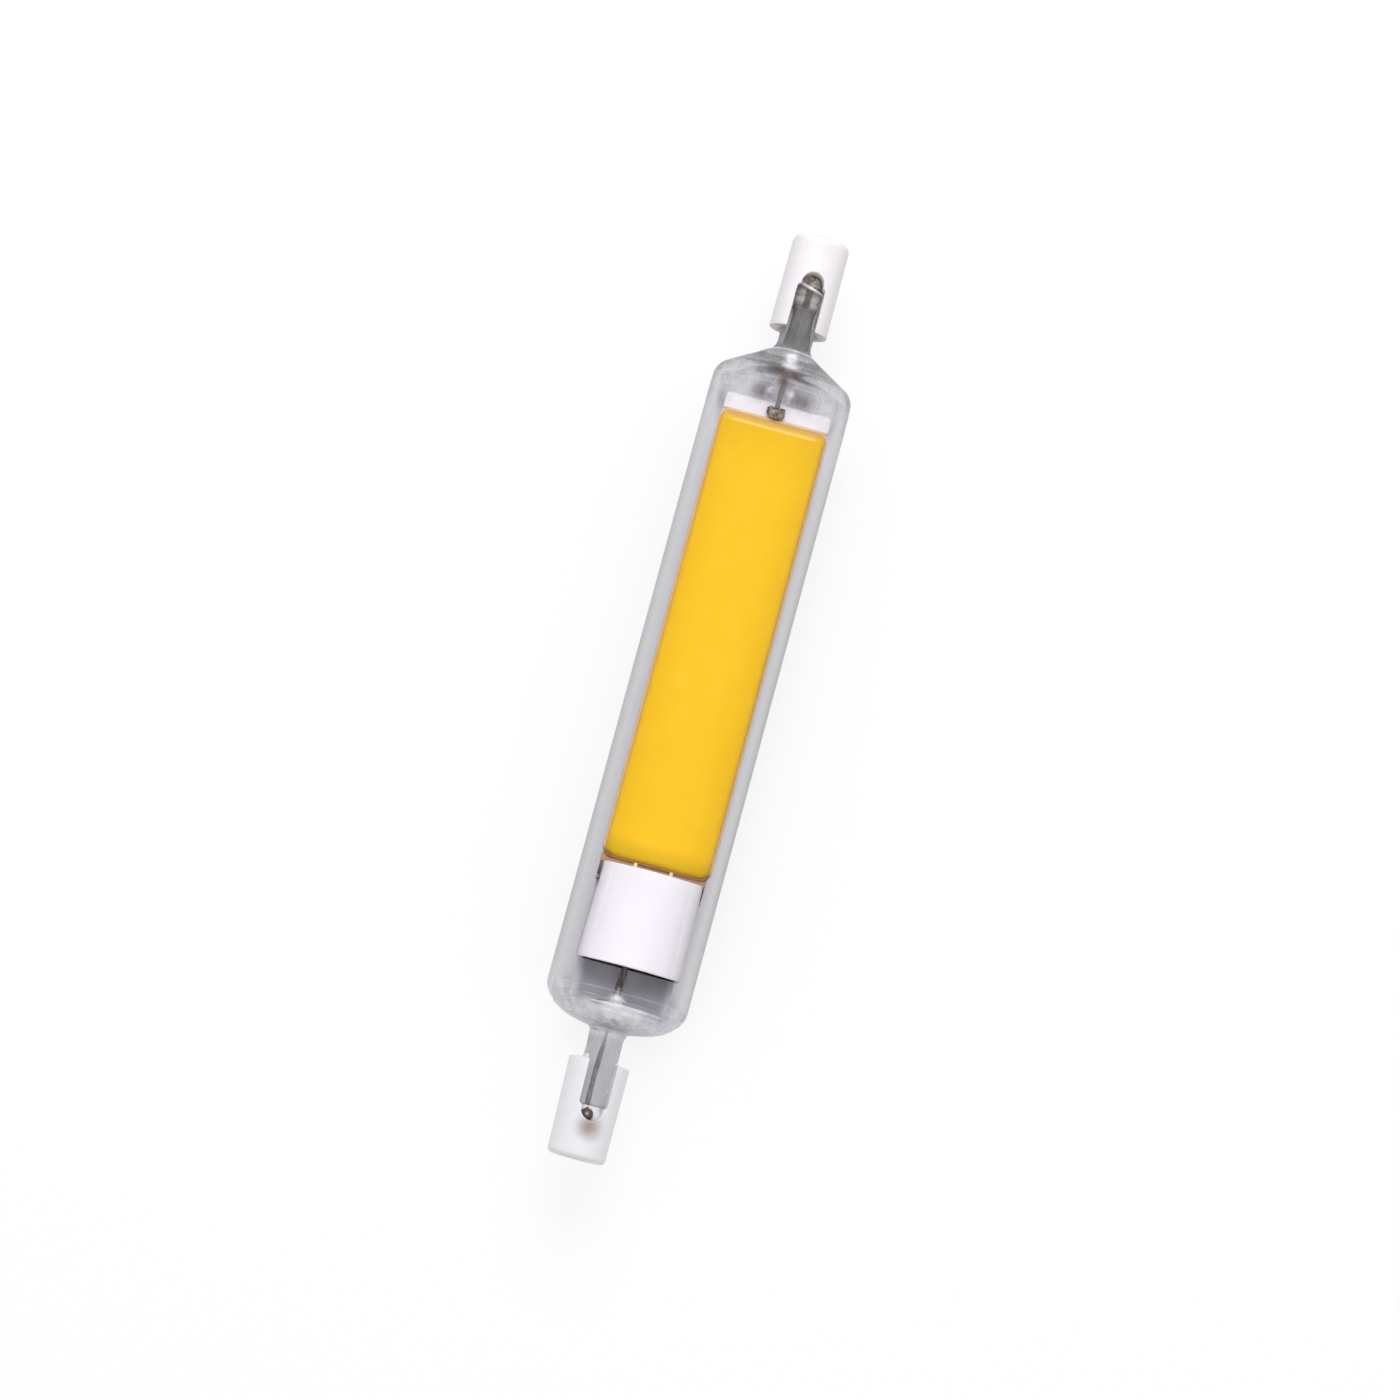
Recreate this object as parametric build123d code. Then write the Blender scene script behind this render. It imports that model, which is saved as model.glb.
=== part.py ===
from build123d import *
import math
import os

# Linear lamp with a glass tube and a ceramic cap at each end, lying on its tube.
# The lamp's axis is X. The light strip faces +Z. The origin is on the axis, halfway between the ends.
# The driver is at the -X end.

# Whole lamp
lamp_length = 118.0
half_length = lamp_length / 2

# Ceramic caps: slotted inner part that tapers a little, then a straight round end
cap_radius = 3.8
cap_end_radius = 3.7
cap_end_start = 0.2
cap_length = 12.1
cap_outer_edge = 0.55
cap_inner_edge = 0.3
cap_bore_depth = 6.3
slot_width = 3.6
slot_length = 5.6
slot_tip_width = 2.8
slot_depth = 7.3
slot_lean = 9.0
recess_radius = 1.9
recess_depth = 2.0
recess_edge = 0.2
cap_inner_end = half_length - cap_length
slot_shoulder = cap_inner_end + slot_length
slot_end = cap_inner_end + slot_depth
recess_floor = half_length - recess_depth

# Glass, sized round the strip that it holds
board_width = 13.5
tube_board_gap = 1.0
tube_wall = 1.1
glass_seam_lean = 180 / 64
stem_radius = 2.14
stem_clearance = 0.12
stem_to_slot_end = 1.7
stem_cut_light = 14.0
stem_cut_driver = 5.0
light_neck = 1.6
light_shoulder = 6.7
driver_neck = 2.0
driver_shoulder = 6.3
inner_radius = board_width / 2 + tube_board_gap
tube_radius = inner_radius + tube_wall
cap_bore_radius = stem_radius + stem_clearance
stem_end = slot_end - stem_to_slot_end
light_neck_x = cap_inner_end - light_neck
light_shoulder_x = light_neck_x - light_shoulder
driver_neck_x = -cap_inner_end + driver_neck
driver_shoulder_x = driver_neck_x + driver_shoulder

# Cement that holds each cap on its stem
cement_depth = 3.6
cement_collar = 0.45
cement_collar_radius = 2.5

# Contacts and their joints with the wires
button_radius = 1.45
button_height = 0.75
button_edge = 0.45
shank_radius = 0.5
shank_stand_out = 0.15
nugget_radius = 0.8
nugget_length = 1.5
nugget_edge = 0.3
nugget_clearance = 0.08
wire_radius = 0.3
wire_in_nugget = 1.0
wire_clearance = 0.02

# Light strip, set back from the start of the light shoulder
board_gap = 1.0
board_shift = -0.2
strip_past_driver_shoulder = 13.7
mask_thickness = 0.12
board_thickness = 1.0
board_corner = 0.4
phosphor_from_light_end = 2.15
phosphor_from_driver_end = 2.75
phosphor_margin = 0.1
phosphor_height = 0.9
phosphor_edge = 0.6
phosphor_light_corner = 0.6
phosphor_driver_corner = 1.25
rim_width = 0.22
rim_height = 0.32
chip_length = 0.9
chip_width = 0.55
chip_height = 0.2
chip_rows = 4
chips_per_row = 18
board_light_end = light_shoulder_x - board_gap
board_driver_end = driver_shoulder_x + strip_past_driver_shoulder
board_top = -wire_radius - wire_clearance
phosphor_light_end = board_light_end - phosphor_from_light_end
phosphor_driver_end = board_driver_end + phosphor_from_driver_end
phosphor_width = board_width - 2 * phosphor_margin

# Driver board under the end of the light strip, notched round the seal of the wire
driver_board_lap = 2.5
driver_board_inset = 0.1
driver_tail_inset = 0.45
driver_board_thickness = 1.0
driver_board_corner = 0.5
driver_board_past_tube = 1.3
notch_width = 5.6
notch_length = 1.7
driver_board_width = board_width - 2 * driver_board_inset
driver_board_start = board_driver_end + driver_board_lap
driver_board_end = driver_shoulder_x - driver_board_past_tube
driver_top = board_top - board_thickness

# Cover over the driver
cover_lap = 2.0
cover_length = 12.1
cover_side_gap = 0.475
cover_flare = 0.6
cover_wall = 0.55
cover_side_height = 2.62
cover_crown_height = 4.52
cover_shoulder = 0.8
cover_start = board_driver_end + cover_lap
cover_end = cover_start - cover_length
cover_width_start = driver_board_width - 2 * cover_side_gap
cover_width_end = cover_width_start + cover_flare
cover_side_top = driver_top + cover_side_height
cover_crown = driver_top + cover_crown_height

# Parts on the driver board, in two rows and two columns beside a middle line of resistors
row_near_strip = 3.1
row_far_from_strip = 7.5
column_left = 0.25
column_right = -0.255
rectifier_length = 3.9
rectifier_width = 3.4
rectifier_height = 1.5
regulator_length = 4.4
regulator_width = 3.2
regulator_height = 1.35
package_leg = 0.55
package_leg_width = 0.4
package_leg_thickness = 0.15
package_lift = 0.12
package_edge = 0.18
fuse_radius = 0.95
fuse_length = 4.0
fuse_band = 0.8
capacitor_length = 3.2
capacitor_width = 3.8
capacitor_height = 2.0
capacitor_edge = 0.25
resistor_length = 0.9
resistor_width = 1.6
resistor_height = 0.5
resistor_near_strip = 0.8
resistor_far_from_strip = 5.7

# Straps that carry current from the strip to the driver, and their solder
strap_width = 0.4
strap_height = 0.45
strap_leg = 0.3
pad_length = 0.56
pad_width = 0.34
pad_height = 0.18
pin_width = 0.4
pin_height = 0.42

# Solder over the wires
blob_length = 1.6
blob_width = 2.3
blob_height = 1.05
blob_setback = 1.25
wire_past_blob = 0.45
joint_length = 2.2
joint_width = 1.8
joint_height = 0.85
wire_under_cover = 1.8
blob_x = board_light_end - blob_setback
wire_end_light = blob_x - wire_past_blob
wire_end_driver = cover_end + wire_under_cover
wire_bend_start = driver_shoulder_x + 0.3
wire_bend_end = wire_bend_start + 2.3


def box_between(x0, x1, y0, y1, z0, z1):
    # A plain block given by its two far corners.
    block = Box(x1 - x0, y1 - y0, z1 - z0)
    return Pos((x0 + x1) / 2, (y0 + y1) / 2, (z0 + z1) / 2) * block


def rod_along_x(radius, x0, x1, y=0.0, z=0.0):
    # A round rod whose axis is parallel to X.
    rod = Rot(0, 90, 0) * Cylinder(radius, abs(x1 - x0))
    return Pos((x0 + x1) / 2, y, z) * rod


def edges_at_x(shape, x, least=-1.0, most=99.0):
    # Circular edges in the plane at x whose radius is between least and most.
    found = shape.edges().filter_by(GeomType.CIRCLE)
    found = [e for e in found if abs(e.center().X - x) < 0.01]
    return [e for e in found if least < e.radius < most]


def turned(outline):
    # A solid turned about X from a closed outline drawn above the axis.
    return revolve(make_face(outline), axis=Axis.X)


def glass_outside():
    # Round stem, stepped dome at the driver end, straight tube, cone at the light end, round stem.
    r = tube_radius
    s = stem_radius
    n = driver_neck_x
    d = driver_shoulder_x
    m = light_neck_x
    start = Line((-stem_end, 0), (-stem_end, s))
    stem = Line((-stem_end, s), (n, s))
    foot = (n + 2.12, s + 0.066 * r)
    flare = Spline([(n, s), (n + 1.6, s + 0.009 * r), foot], tangents=[(1, 0), (0.25, 1)])
    dome_steps = [(0.413, 0.554), (0.505, 0.729), (0.651, 0.864), (0.802, 0.955)]
    dome_places = [foot] + [(n + driver_shoulder * a, r * b) for a, b in dome_steps] + [(d, r)]
    dome = Spline(dome_places, tangents=[(0.25, 1), (1, 0)])
    tube = Line((d, r), (light_shoulder_x, r))
    cone_steps = [(0.821, 0.99), (0.679, 0.927), (0.545, 0.768), (0.231, 0.384), (0.142, 0.289)]
    cone_places = [(m - light_shoulder * a, r * b) for a, b in cone_steps]
    cone = Spline([(light_shoulder_x, r)] + cone_places + [(m, s)], tangents=[(1, 0), (1, 0)])
    neck = Line((m, s), (stem_end, s))
    end = Line((stem_end, s), (stem_end, 0))
    axis = Line((stem_end, 0), (-stem_end, 0))
    return turned([start, stem, flare, dome, tube, cone, neck, end, axis])


def glass_inside():
    # The hollow. The glass of each wire seal stands into it: a mound at the driver end, a drop at the other.
    r = inner_radius
    d = driver_shoulder_x
    m = light_shoulder_x
    mound = [(d + 0.2, 0), (d - 0.3, 0.168 * r), (d - 1.0, 0.271 * r)]
    mound = mound + [(d - 1.8, 0.387 * r), (d - 2.4, 0.503 * r)]
    valley = (d - 2.62, 0.632 * r)
    low_seal = Spline(mound + [valley], tangents=[(0, 1), (0, 1)])
    low_wall = [(d - 2.25, 0.8 * r), (d - 1.6, 0.91 * r), (d - 0.8, 0.98 * r), (d + 0.2, r)]
    low_dome = Spline([valley] + low_wall, tangents=[(0, 1), (1, 0)])
    tube = Line((d + 0.2, r), (m - 0.6, r))
    high_wall = [(m - 0.6, r), (m + 0.65, 0.961 * r), (m + 1.5, 0.852 * r), (m + 2.5, 0.632 * r)]
    bottom = (m + 3.15, 0.452 * r)
    high_cone = Spline(high_wall + [bottom], tangents=[(1, 0), (0, -1)])
    drop = [(m + 2.7, 0.31 * r), (m + 1.75, 0.187 * r), (m + 1.1, 0.181 * r), (m + 0.3, 0.241 * r)]
    drop = drop + [(m - 0.3, 0.213 * r), (m - board_gap + 0.25, 0)]
    high_seal = Spline([bottom] + drop, tangents=[(0, -1), (0, -1)])
    axis = Line((m - board_gap + 0.25, 0), (d + 0.2, 0))
    return turned([low_seal, low_dome, tube, high_cone, high_seal, axis])


def make_glass():
    # One blown piece, its seam turned a little off the vertical. Each stem ends in a slightly slanting cut.
    # A wire runs through each seal.
    body = Rot(glass_seam_lean, 0, 0) * (glass_outside() - glass_inside())
    side = 4 * stem_radius
    slab = Pos(side / 2, 0, 0) * Box(side, side, side)
    lean_light = stem_radius * math.tan(math.radians(stem_cut_light))
    lean_driver = stem_radius * math.tan(math.radians(stem_cut_driver))
    cut_light = Pos(stem_end - lean_light, 0, 0) * Rot(0, 0, stem_cut_light) * slab
    cut_driver = Pos(-stem_end + lean_driver, 0, 0) * Rot(0, 0, 180 + stem_cut_driver) * slab
    body = body - cut_light - cut_driver
    body = body - rod_along_x(wire_radius, light_shoulder_x - board_gap, half_length)
    body = body - rod_along_x(wire_radius, -half_length, driver_shoulder_x + board_gap)
    return body


def make_cap():
    # Cap of the light end. A slot runs right through it, from its inner end to a round end.
    far = slot_end + cap_end_start
    outline = Polyline(
        (cap_inner_end, 0), (cap_inner_end, cap_radius), (far, cap_end_radius),
        (half_length, cap_end_radius), (half_length, 0), (cap_inner_end, 0),
    )
    body = revolve(make_face(outline), axis=Axis.X)
    body = fillet(edges_at_x(body, half_length), cap_outer_edge)
    body = fillet(edges_at_x(body, cap_inner_end), cap_inner_edge)
    body = body - rod_along_x(cap_bore_radius, cap_inner_end - 1, cap_inner_end + cap_bore_depth)
    arch = slot_end - slot_tip_width / 2
    wide = slot_width / 2
    narrow = slot_tip_width / 2
    reach = cap_radius + 1
    slot = box_between(cap_inner_end - 1, slot_shoulder, -wide, wide, -reach, reach)
    slot = fillet([e for e in slot.edges().filter_by(Axis.Z) if e.center().X > cap_inner_end], wide - narrow)
    body = body - slot - box_between(slot_shoulder - 1, arch, -narrow, narrow, -reach, reach)
    body = body - Pos(arch, 0, 0) * Cylinder(narrow, 2 * reach)
    pocket_end = slot_end - shank_stand_out + nugget_clearance
    body = body - rod_along_x(nugget_radius + nugget_clearance, arch, pocket_end)
    body = body - rod_along_x(recess_radius, recess_floor, half_length + 1)
    mouth = edges_at_x(body, half_length, recess_radius - 0.1, recess_radius + 0.1)
    body = fillet(mouth, recess_edge)
    body = body - rod_along_x(shank_radius, slot_end - slot_tip_width, recess_floor + 1)
    return Rot(slot_lean, 0, 0) * body


def make_cement():
    # Sleeve between stem and cap, open at the slot, with a sloping collar at the cap's inner end.
    lip = cap_inner_end
    reach = cap_radius + 1
    sleeve = rod_along_x(cap_bore_radius, lip, lip + cement_depth)
    sleeve = sleeve - box_between(lip - 1, lip + cap_length, -slot_width / 2, slot_width / 2, -reach, reach)
    start = lip - cement_collar
    foot = stem_radius + stem_clearance / 6
    waist = stem_radius + 0.3 * (cement_collar_radius - stem_radius)
    a = Line((start, 0), (start, foot))
    slope = [(start, foot), (lip - 0.4 * cement_collar, waist), (lip, cement_collar_radius)]
    b = Spline(slope, tangents=[(1, 0.1), (0.3, 1)])
    c = Line((lip, cement_collar_radius), (lip, 0))
    d = Line((lip, 0), (start, 0))
    collar = turned([a, b, c, d])
    ring = collar + sleeve
    ring = ring - rod_along_x(stem_radius, lip - 2, lip + cap_length)
    return Rot(slot_lean, 0, 0) * ring


def make_contact():
    # Domed button on the recess floor with a shank through the ceramic.
    button = rod_along_x(button_radius, recess_floor, recess_floor + button_height)
    button = fillet(edges_at_x(button, recess_floor + button_height), button_edge)
    shank = rod_along_x(shank_radius, slot_end - shank_stand_out, recess_floor + button_height / 3)
    return button + shank


def make_nugget():
    # Round weld joint at the end of the wire, against the shank.
    x1 = slot_end - shank_stand_out
    x0 = x1 - nugget_length
    body = rod_along_x(nugget_radius, x0, x1)
    body = fillet(edges_at_x(body, x0), nugget_edge)
    body = fillet(edges_at_x(body, x1), nugget_edge * 0.7)
    return body - rod_along_x(wire_radius, x0 - 1, x0 + wire_in_nugget)


def at_driver_end(shape):
    # The like piece of the other end, turned half round about Z, with its slot leaning the same way.
    return Rot(2 * slot_lean, 0, 0) * Rot(0, 0, 180) * shape


def wire_outer_end():
    return slot_end - shank_stand_out - nugget_length + wire_in_nugget


def make_wire_light():
    # Straight wire from the solder on the strip, through the seal, to the weld.
    return rod_along_x(wire_radius, wire_end_light, wire_outer_end())


def wire_lying_height():
    return driver_top + wire_radius + wire_clearance


def make_wire_driver():
    # The wire steps down from the axis to lie on the driver board.
    lie = wire_lying_height()
    x0 = wire_bend_start
    x1 = wire_bend_end
    middle = ((x0 + x1) / 2, wire_radius / 3, lie / 2)
    far = Line((-wire_outer_end(), 0, 0), (x0, 0, 0))
    step = Spline([(x0, 0, 0), middle, (x1, 0, lie)], tangents=[(1, 0, 0), (1, 0, 0)])
    near = Line((x1, 0, lie), (wire_end_driver, 0, lie))
    path = Wire([far.edge(), step.edge(), near.edge()])
    section = Plane(origin=(-wire_outer_end(), 0, 0), z_dir=(1, 0, 0)) * Circle(wire_radius)
    return sweep(section, path=path)


def make_board_base():
    # Metal plate under the white layer.
    h = board_width / 2
    z0 = board_top - board_thickness
    body = box_between(board_driver_end, board_light_end, -h, h, z0, board_top - mask_thickness)
    return fillet(body.edges().filter_by(Axis.Z), board_corner)


def make_board_mask():
    # Thin white layer over the whole plate.
    h = board_width / 2
    body = box_between(board_driver_end, board_light_end, -h, h, board_top - mask_thickness, board_top)
    return fillet(body.edges().filter_by(Axis.Z), board_corner)


def strip_outline(inset, height):
    # Slab on the board with small corners at the light end and large ones at the driver end.
    x0 = phosphor_driver_end + inset
    x1 = phosphor_light_end - inset
    h = phosphor_width / 2 - inset
    body = box_between(x0, x1, -h, h, board_top, board_top + height)
    upright = body.edges().filter_by(Axis.Z)
    small = [e for e in upright if e.center().X > 0]
    large = [e for e in upright if e.center().X < 0]
    body = fillet(small, phosphor_light_corner - inset)
    large = [e for e in body.edges().filter_by(Axis.Z) if e.center().X < -1 and e.geom_type == GeomType.LINE]
    large = [e for e in large if abs(e.center().X - x0) < 0.01]
    return fillet(large, phosphor_driver_corner - inset)


def make_chips():
    # Light chips in straight rows on the board, all alike.
    chips = []
    chip_pitch = (phosphor_light_end - phosphor_driver_end) / (chips_per_row + 0.8)
    chip_row_pitch = phosphor_width / (chip_rows + 0.35)
    first_x = (phosphor_light_end + phosphor_driver_end) / 2 - (chips_per_row - 1) * chip_pitch / 2
    first_y = -(chip_rows - 1) * chip_row_pitch / 2
    for row in range(chip_rows):
        for place in range(chips_per_row):
            x = first_x + place * chip_pitch
            y = first_y + row * chip_row_pitch
            chip = Pos(x, y, board_top + chip_height / 2) * Box(chip_length, chip_width, chip_height)
            chips.append(chip)
    return chips


def make_phosphor(chips):
    # Yellow slab with a rounded upper edge, cast over the chips.
    body = strip_outline(rim_width, phosphor_height)
    top = body.faces().sort_by(Axis.Z)[-1]
    body = fillet(top.edges(), phosphor_edge)
    return body - chips


def make_rim():
    # Low bead of clear resin that runs round the slab.
    outer = strip_outline(0.0, rim_height)
    inner = strip_outline(rim_width, rim_height)
    return outer - inner


def make_driver_board():
    # Board lapped under the end of the strip and bare past the cover, with a round notch in its far end.
    h = driver_board_width / 2
    z1 = driver_top
    z0 = z1 - driver_board_thickness
    t = h - driver_tail_inset
    body = box_between(cover_end, driver_board_start, -h, h, z0, z1)
    body = body + box_between(driver_board_end, cover_end + 1, -t, t, z0, z1)
    body = Pos(0, board_shift, 0) * body
    ends = [e for e in body.edges().filter_by(Axis.Z) if e.length > driver_board_thickness / 2]
    far = [e for e in ends if e.center().X < driver_board_end + 0.01]
    near = [e for e in ends if e.center().X > driver_board_start - 0.01]
    body = fillet(far + near, driver_board_corner)
    k = notch_width / 2
    notch_floor = driver_board_end + notch_length
    notch = box_between(driver_board_end - 1, notch_floor, -k, k, z0 - 1, z1 + 1)
    inner = [e for e in notch.edges().filter_by(Axis.Z) if e.center().X > notch_floor - 0.01]
    notch = fillet(inner, notch_length * 0.8)
    return body - notch


def arch_section(x, width, inset, base):
    # Section across the cover at x: upright sides, rounded shoulders and a low arched top.
    h = width / 2 - inset
    side = cover_side_top - inset * 0.4
    crown = cover_crown - inset
    k = cover_shoulder
    pts = [(h, base), (h, side), (h - k * 0.95, side + k * 0.62)]
    left = [(-p[0], p[1]) for p in pts]
    plane = Plane(origin=(x, 0, 0), x_dir=(0, 1, 0), z_dir=(1, 0, 0))
    up = Line(pts[0], pts[1])
    turn = Spline([pts[1], pts[2]], tangents=[(0, 1), (-1, 0.26)])
    crown_curve = Spline([pts[2], (0, crown), left[2]], tangents=[(-1, 0.26), (-1, -0.26)])
    back = Spline([left[2], left[1]], tangents=[(-1, -0.26), (0, -1)])
    down = Line(left[1], left[0])
    close = Line(left[0], pts[0])
    return plane * make_face([up, turn, crown_curve, back, down, close])


def make_cover():
    # Thin arched lid with a closed light end. It stands on the strip and then on the driver board.
    rim_start = arch_section(cover_start, cover_width_start, 0.0, driver_top)
    rim_end = arch_section(cover_end, cover_width_end, 0.0, driver_top)
    hole_start = arch_section(cover_start - cover_wall, cover_width_start, cover_wall, driver_top)
    hole_end = arch_section(cover_end - 0.001, cover_width_end, cover_wall, driver_top)
    shell = loft([rim_end, rim_start]) - loft([hole_end, hole_start])
    w = board_width
    return shell - box_between(board_driver_end - 0.02, cover_start + 1, -w, w, driver_top - 1, board_top)


def make_strap():
    # Bent strip on the +Y edge of the light strip, going down to the edge of the driver board.
    y1 = driver_board_width / 2
    y0 = y1 - strap_width
    low = driver_top
    high = board_top + strap_height
    flat = box_between(board_driver_end, cover_start, y0, y1, board_top, high)
    leg = box_between(board_driver_end - strap_leg, board_driver_end, y0, y1, low, high)
    return flat + leg


def solder_heap(x, z, length, width, height):
    # Half of an ellipsoid that stands on the plane at z.
    heap = Pos(x, 0, z) * scale(Sphere(1.0), by=(length / 2, width / 2, height))
    return heap - box_between(x - length, x + length, -width, width, z - 2 * height, z)


def make_blob():
    # Solder heaped over the end of the wire on the strip.
    return solder_heap(blob_x, board_top, blob_length, blob_width, blob_height) - make_wire_light()


def make_driver_joint():
    # Solder over the end of the wire on the driver board.
    x = wire_end_driver - 0.5
    heap = solder_heap(x, driver_top, joint_length, joint_width, joint_height)
    return heap - rod_along_x(wire_radius, x - joint_length, wire_end_driver, 0.0, wire_lying_height())


def make_solder_pads():
    # A small pad of solder on the bend of each strap.
    pads = []
    z = board_top + strap_height
    x = board_driver_end + 0.05
    for side in (1, -1):
        y = side * (driver_board_width / 2 - strap_width / 2)
        pad = Pos(x, y, z + pad_height / 2) * Box(pad_length, pad_width, pad_height)
        pads.append(chamfer(pad.faces().sort_by(Axis.Z)[-1].edges(), pad_height / 3))
    return pads


def make_pins():
    # Two flat pins that run from under the slab to the cover's closed end.
    pins = []
    x0 = cover_start
    x1 = phosphor_driver_end
    for y in (board_width * 0.17, -board_width * 0.165):
        pin = box_between(x0, x1, y - pin_width / 2, y + pin_width / 2, board_top, board_top + pin_height)
        pins.append(pin)
    return pins


def chip_package(x, y, length, width, height, legs):
    # Moulded package with a row of bent legs at each side, its legs on the board.
    z = driver_top
    foot_top = z + package_leg_thickness
    body = Pos(x, y, z + package_lift + height / 2) * Box(length, width, height)
    body = chamfer(body.faces().sort_by(Axis.Z)[-1].edges(), package_edge)
    pitch = length / legs
    half = package_leg_width / 2
    for k in range(legs):
        lx = x - length / 2 + pitch * (k + 0.5)
        for side in (1, -1):
            foot = box_between(lx - half, lx + half, 0, package_leg, z, foot_top)
            rise = box_between(lx - half, lx + half, 0, package_leg_thickness, z, foot_top + height / 2)
            leg = foot + rise
            if side < 0:
                leg = mirror(leg, about=Plane.XZ)
            body = body + Pos(0, y + side * width / 2, 0) * leg
    return body


def make_rectifier():
    x = board_driver_end - row_near_strip
    y = driver_board_width * column_right
    return chip_package(x, y, rectifier_length, rectifier_width, rectifier_height, 2)


def make_current_chips():
    x = board_driver_end - row_near_strip
    y = driver_board_width * column_left
    return [chip_package(x, y, regulator_length, regulator_width, regulator_height, 4)]


def make_fuse():
    # Round fusible resistor with a wider band at each end, lying across the board.
    r = fuse_radius
    y = driver_board_width * column_right
    place = Pos(board_driver_end - row_far_from_strip, y, driver_top + r) * Rot(90, 0, 0)
    body = Cylinder(r, fuse_length)
    waist = Cylinder(r + 1, fuse_length - 2 * fuse_band) - Cylinder(r - 0.12, fuse_length)
    return place * (body - waist)


def make_capacitor():
    # Block capacitor with rounded ends.
    y = driver_board_width * column_left
    x = board_driver_end - row_far_from_strip
    a = capacitor_length / 2
    b = capacitor_width / 2
    block = box_between(x - a, x + a, y - b, y + b, driver_top, driver_top + capacitor_height)
    return fillet(block.edges().filter_by(Axis.Y), capacitor_edge)


def make_resistors():
    # Small flat resistors down the middle of the board.
    z = driver_top
    a = resistor_length / 2
    b = resistor_width / 2
    found = []
    for back in (resistor_near_strip, resistor_far_from_strip):
        x = board_driver_end - back
        found.append(box_between(x - a, x + a, -b, b, z, z + resistor_height))
    return found


def save(shape, name):
    # One file per node. Several like solids go out as one group.
    if isinstance(shape, (list, tuple)):
        solids = []
        for s in shape:
            solids.extend(s.solids())
        shape = Compound(children=solids)
    shape.label = name
    export_step(shape, "parts/" + name + ".step")


def shifted(shape):
    # The strip and what it carries stand a little to one side of the axis.
    if isinstance(shape, list):
        return [Pos(0, board_shift, 0) * s for s in shape]
    return Pos(0, board_shift, 0) * shape


def main():
    os.makedirs("parts", exist_ok=True)
    save(make_glass(), "glass_envelope")
    cap = make_cap()
    save(cap, "ceramic_cap_light_end")
    save(at_driver_end(cap), "ceramic_cap_driver_end")
    cement = make_cement()
    save(cement, "cap_cement_light_end")
    save(at_driver_end(cement), "cap_cement_driver_end")
    contact = make_contact()
    save(contact, "contact_light_end")
    save(at_driver_end(contact), "contact_driver_end")
    nugget = make_nugget()
    save(nugget, "wire_weld_light_end")
    save(at_driver_end(nugget), "wire_weld_driver_end")
    save(make_wire_light(), "lead_wire_light_end")
    save(make_wire_driver(), "lead_wire_driver_end")
    save(shifted(make_board_base()), "strip_plate")
    save(shifted(make_board_mask()), "strip_white_layer")
    chips = make_chips()
    save(shifted(chips), "light_chips")
    save(shifted(make_phosphor(chips)), "phosphor_slab")
    save(shifted(make_rim()), "phosphor_rim")
    save(make_blob(), "solder_light_end")
    save(make_driver_joint(), "solder_driver_end")
    save(make_driver_board(), "driver_board")
    save(shifted(make_cover()), "driver_cover")
    strap = make_strap()
    save(shifted(strap), "link_strap_left")
    save(shifted(mirror(strap, about=Plane.XZ)), "link_strap_right")
    save(shifted(make_solder_pads()), "strap_solder_dots")
    save(shifted(make_pins()), "jumper_pins")
    save(shifted(make_rectifier()), "bridge_rectifier")
    save(shifted(make_current_chips()), "current_chip")
    save(shifted(make_fuse()), "fusible_resistor")
    save(shifted(make_capacitor()), "block_capacitor")
    save(shifted(make_resistors()), "sense_resistors")


main()
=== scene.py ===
import math
import bpy
import mathutils
import numpy as np
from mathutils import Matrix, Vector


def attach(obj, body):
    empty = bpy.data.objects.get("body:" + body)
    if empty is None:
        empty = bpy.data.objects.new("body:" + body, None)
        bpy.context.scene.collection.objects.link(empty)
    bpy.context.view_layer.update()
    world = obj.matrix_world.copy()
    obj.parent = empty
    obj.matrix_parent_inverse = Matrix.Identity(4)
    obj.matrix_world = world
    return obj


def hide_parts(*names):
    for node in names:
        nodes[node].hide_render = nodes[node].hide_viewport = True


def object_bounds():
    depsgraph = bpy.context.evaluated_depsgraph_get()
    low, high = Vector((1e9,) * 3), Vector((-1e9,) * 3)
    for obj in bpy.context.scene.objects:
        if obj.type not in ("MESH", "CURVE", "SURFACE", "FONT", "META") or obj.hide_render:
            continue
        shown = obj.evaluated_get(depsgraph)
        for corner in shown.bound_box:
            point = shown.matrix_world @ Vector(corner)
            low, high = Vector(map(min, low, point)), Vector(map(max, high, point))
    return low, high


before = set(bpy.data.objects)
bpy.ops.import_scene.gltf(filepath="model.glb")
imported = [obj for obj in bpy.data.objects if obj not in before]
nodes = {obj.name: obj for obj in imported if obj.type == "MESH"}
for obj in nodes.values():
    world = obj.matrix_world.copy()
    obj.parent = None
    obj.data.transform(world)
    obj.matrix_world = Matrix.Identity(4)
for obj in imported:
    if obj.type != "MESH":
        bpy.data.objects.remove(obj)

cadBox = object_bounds()
mm = 0.001
shift = -0.2           # the strip stands this far off the axis along Y, in mm
lean = 0.0026          # slab and cover stray from it by this much for each mm towards the driver end
leanStart = 35.0       # from this place along X


def strayed(x):
    # Middle of the slab and of the cover along Y at place x, in mm: shift - lean * (leanStart - x).
    return shift - lean * (leanStart - x)


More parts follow.
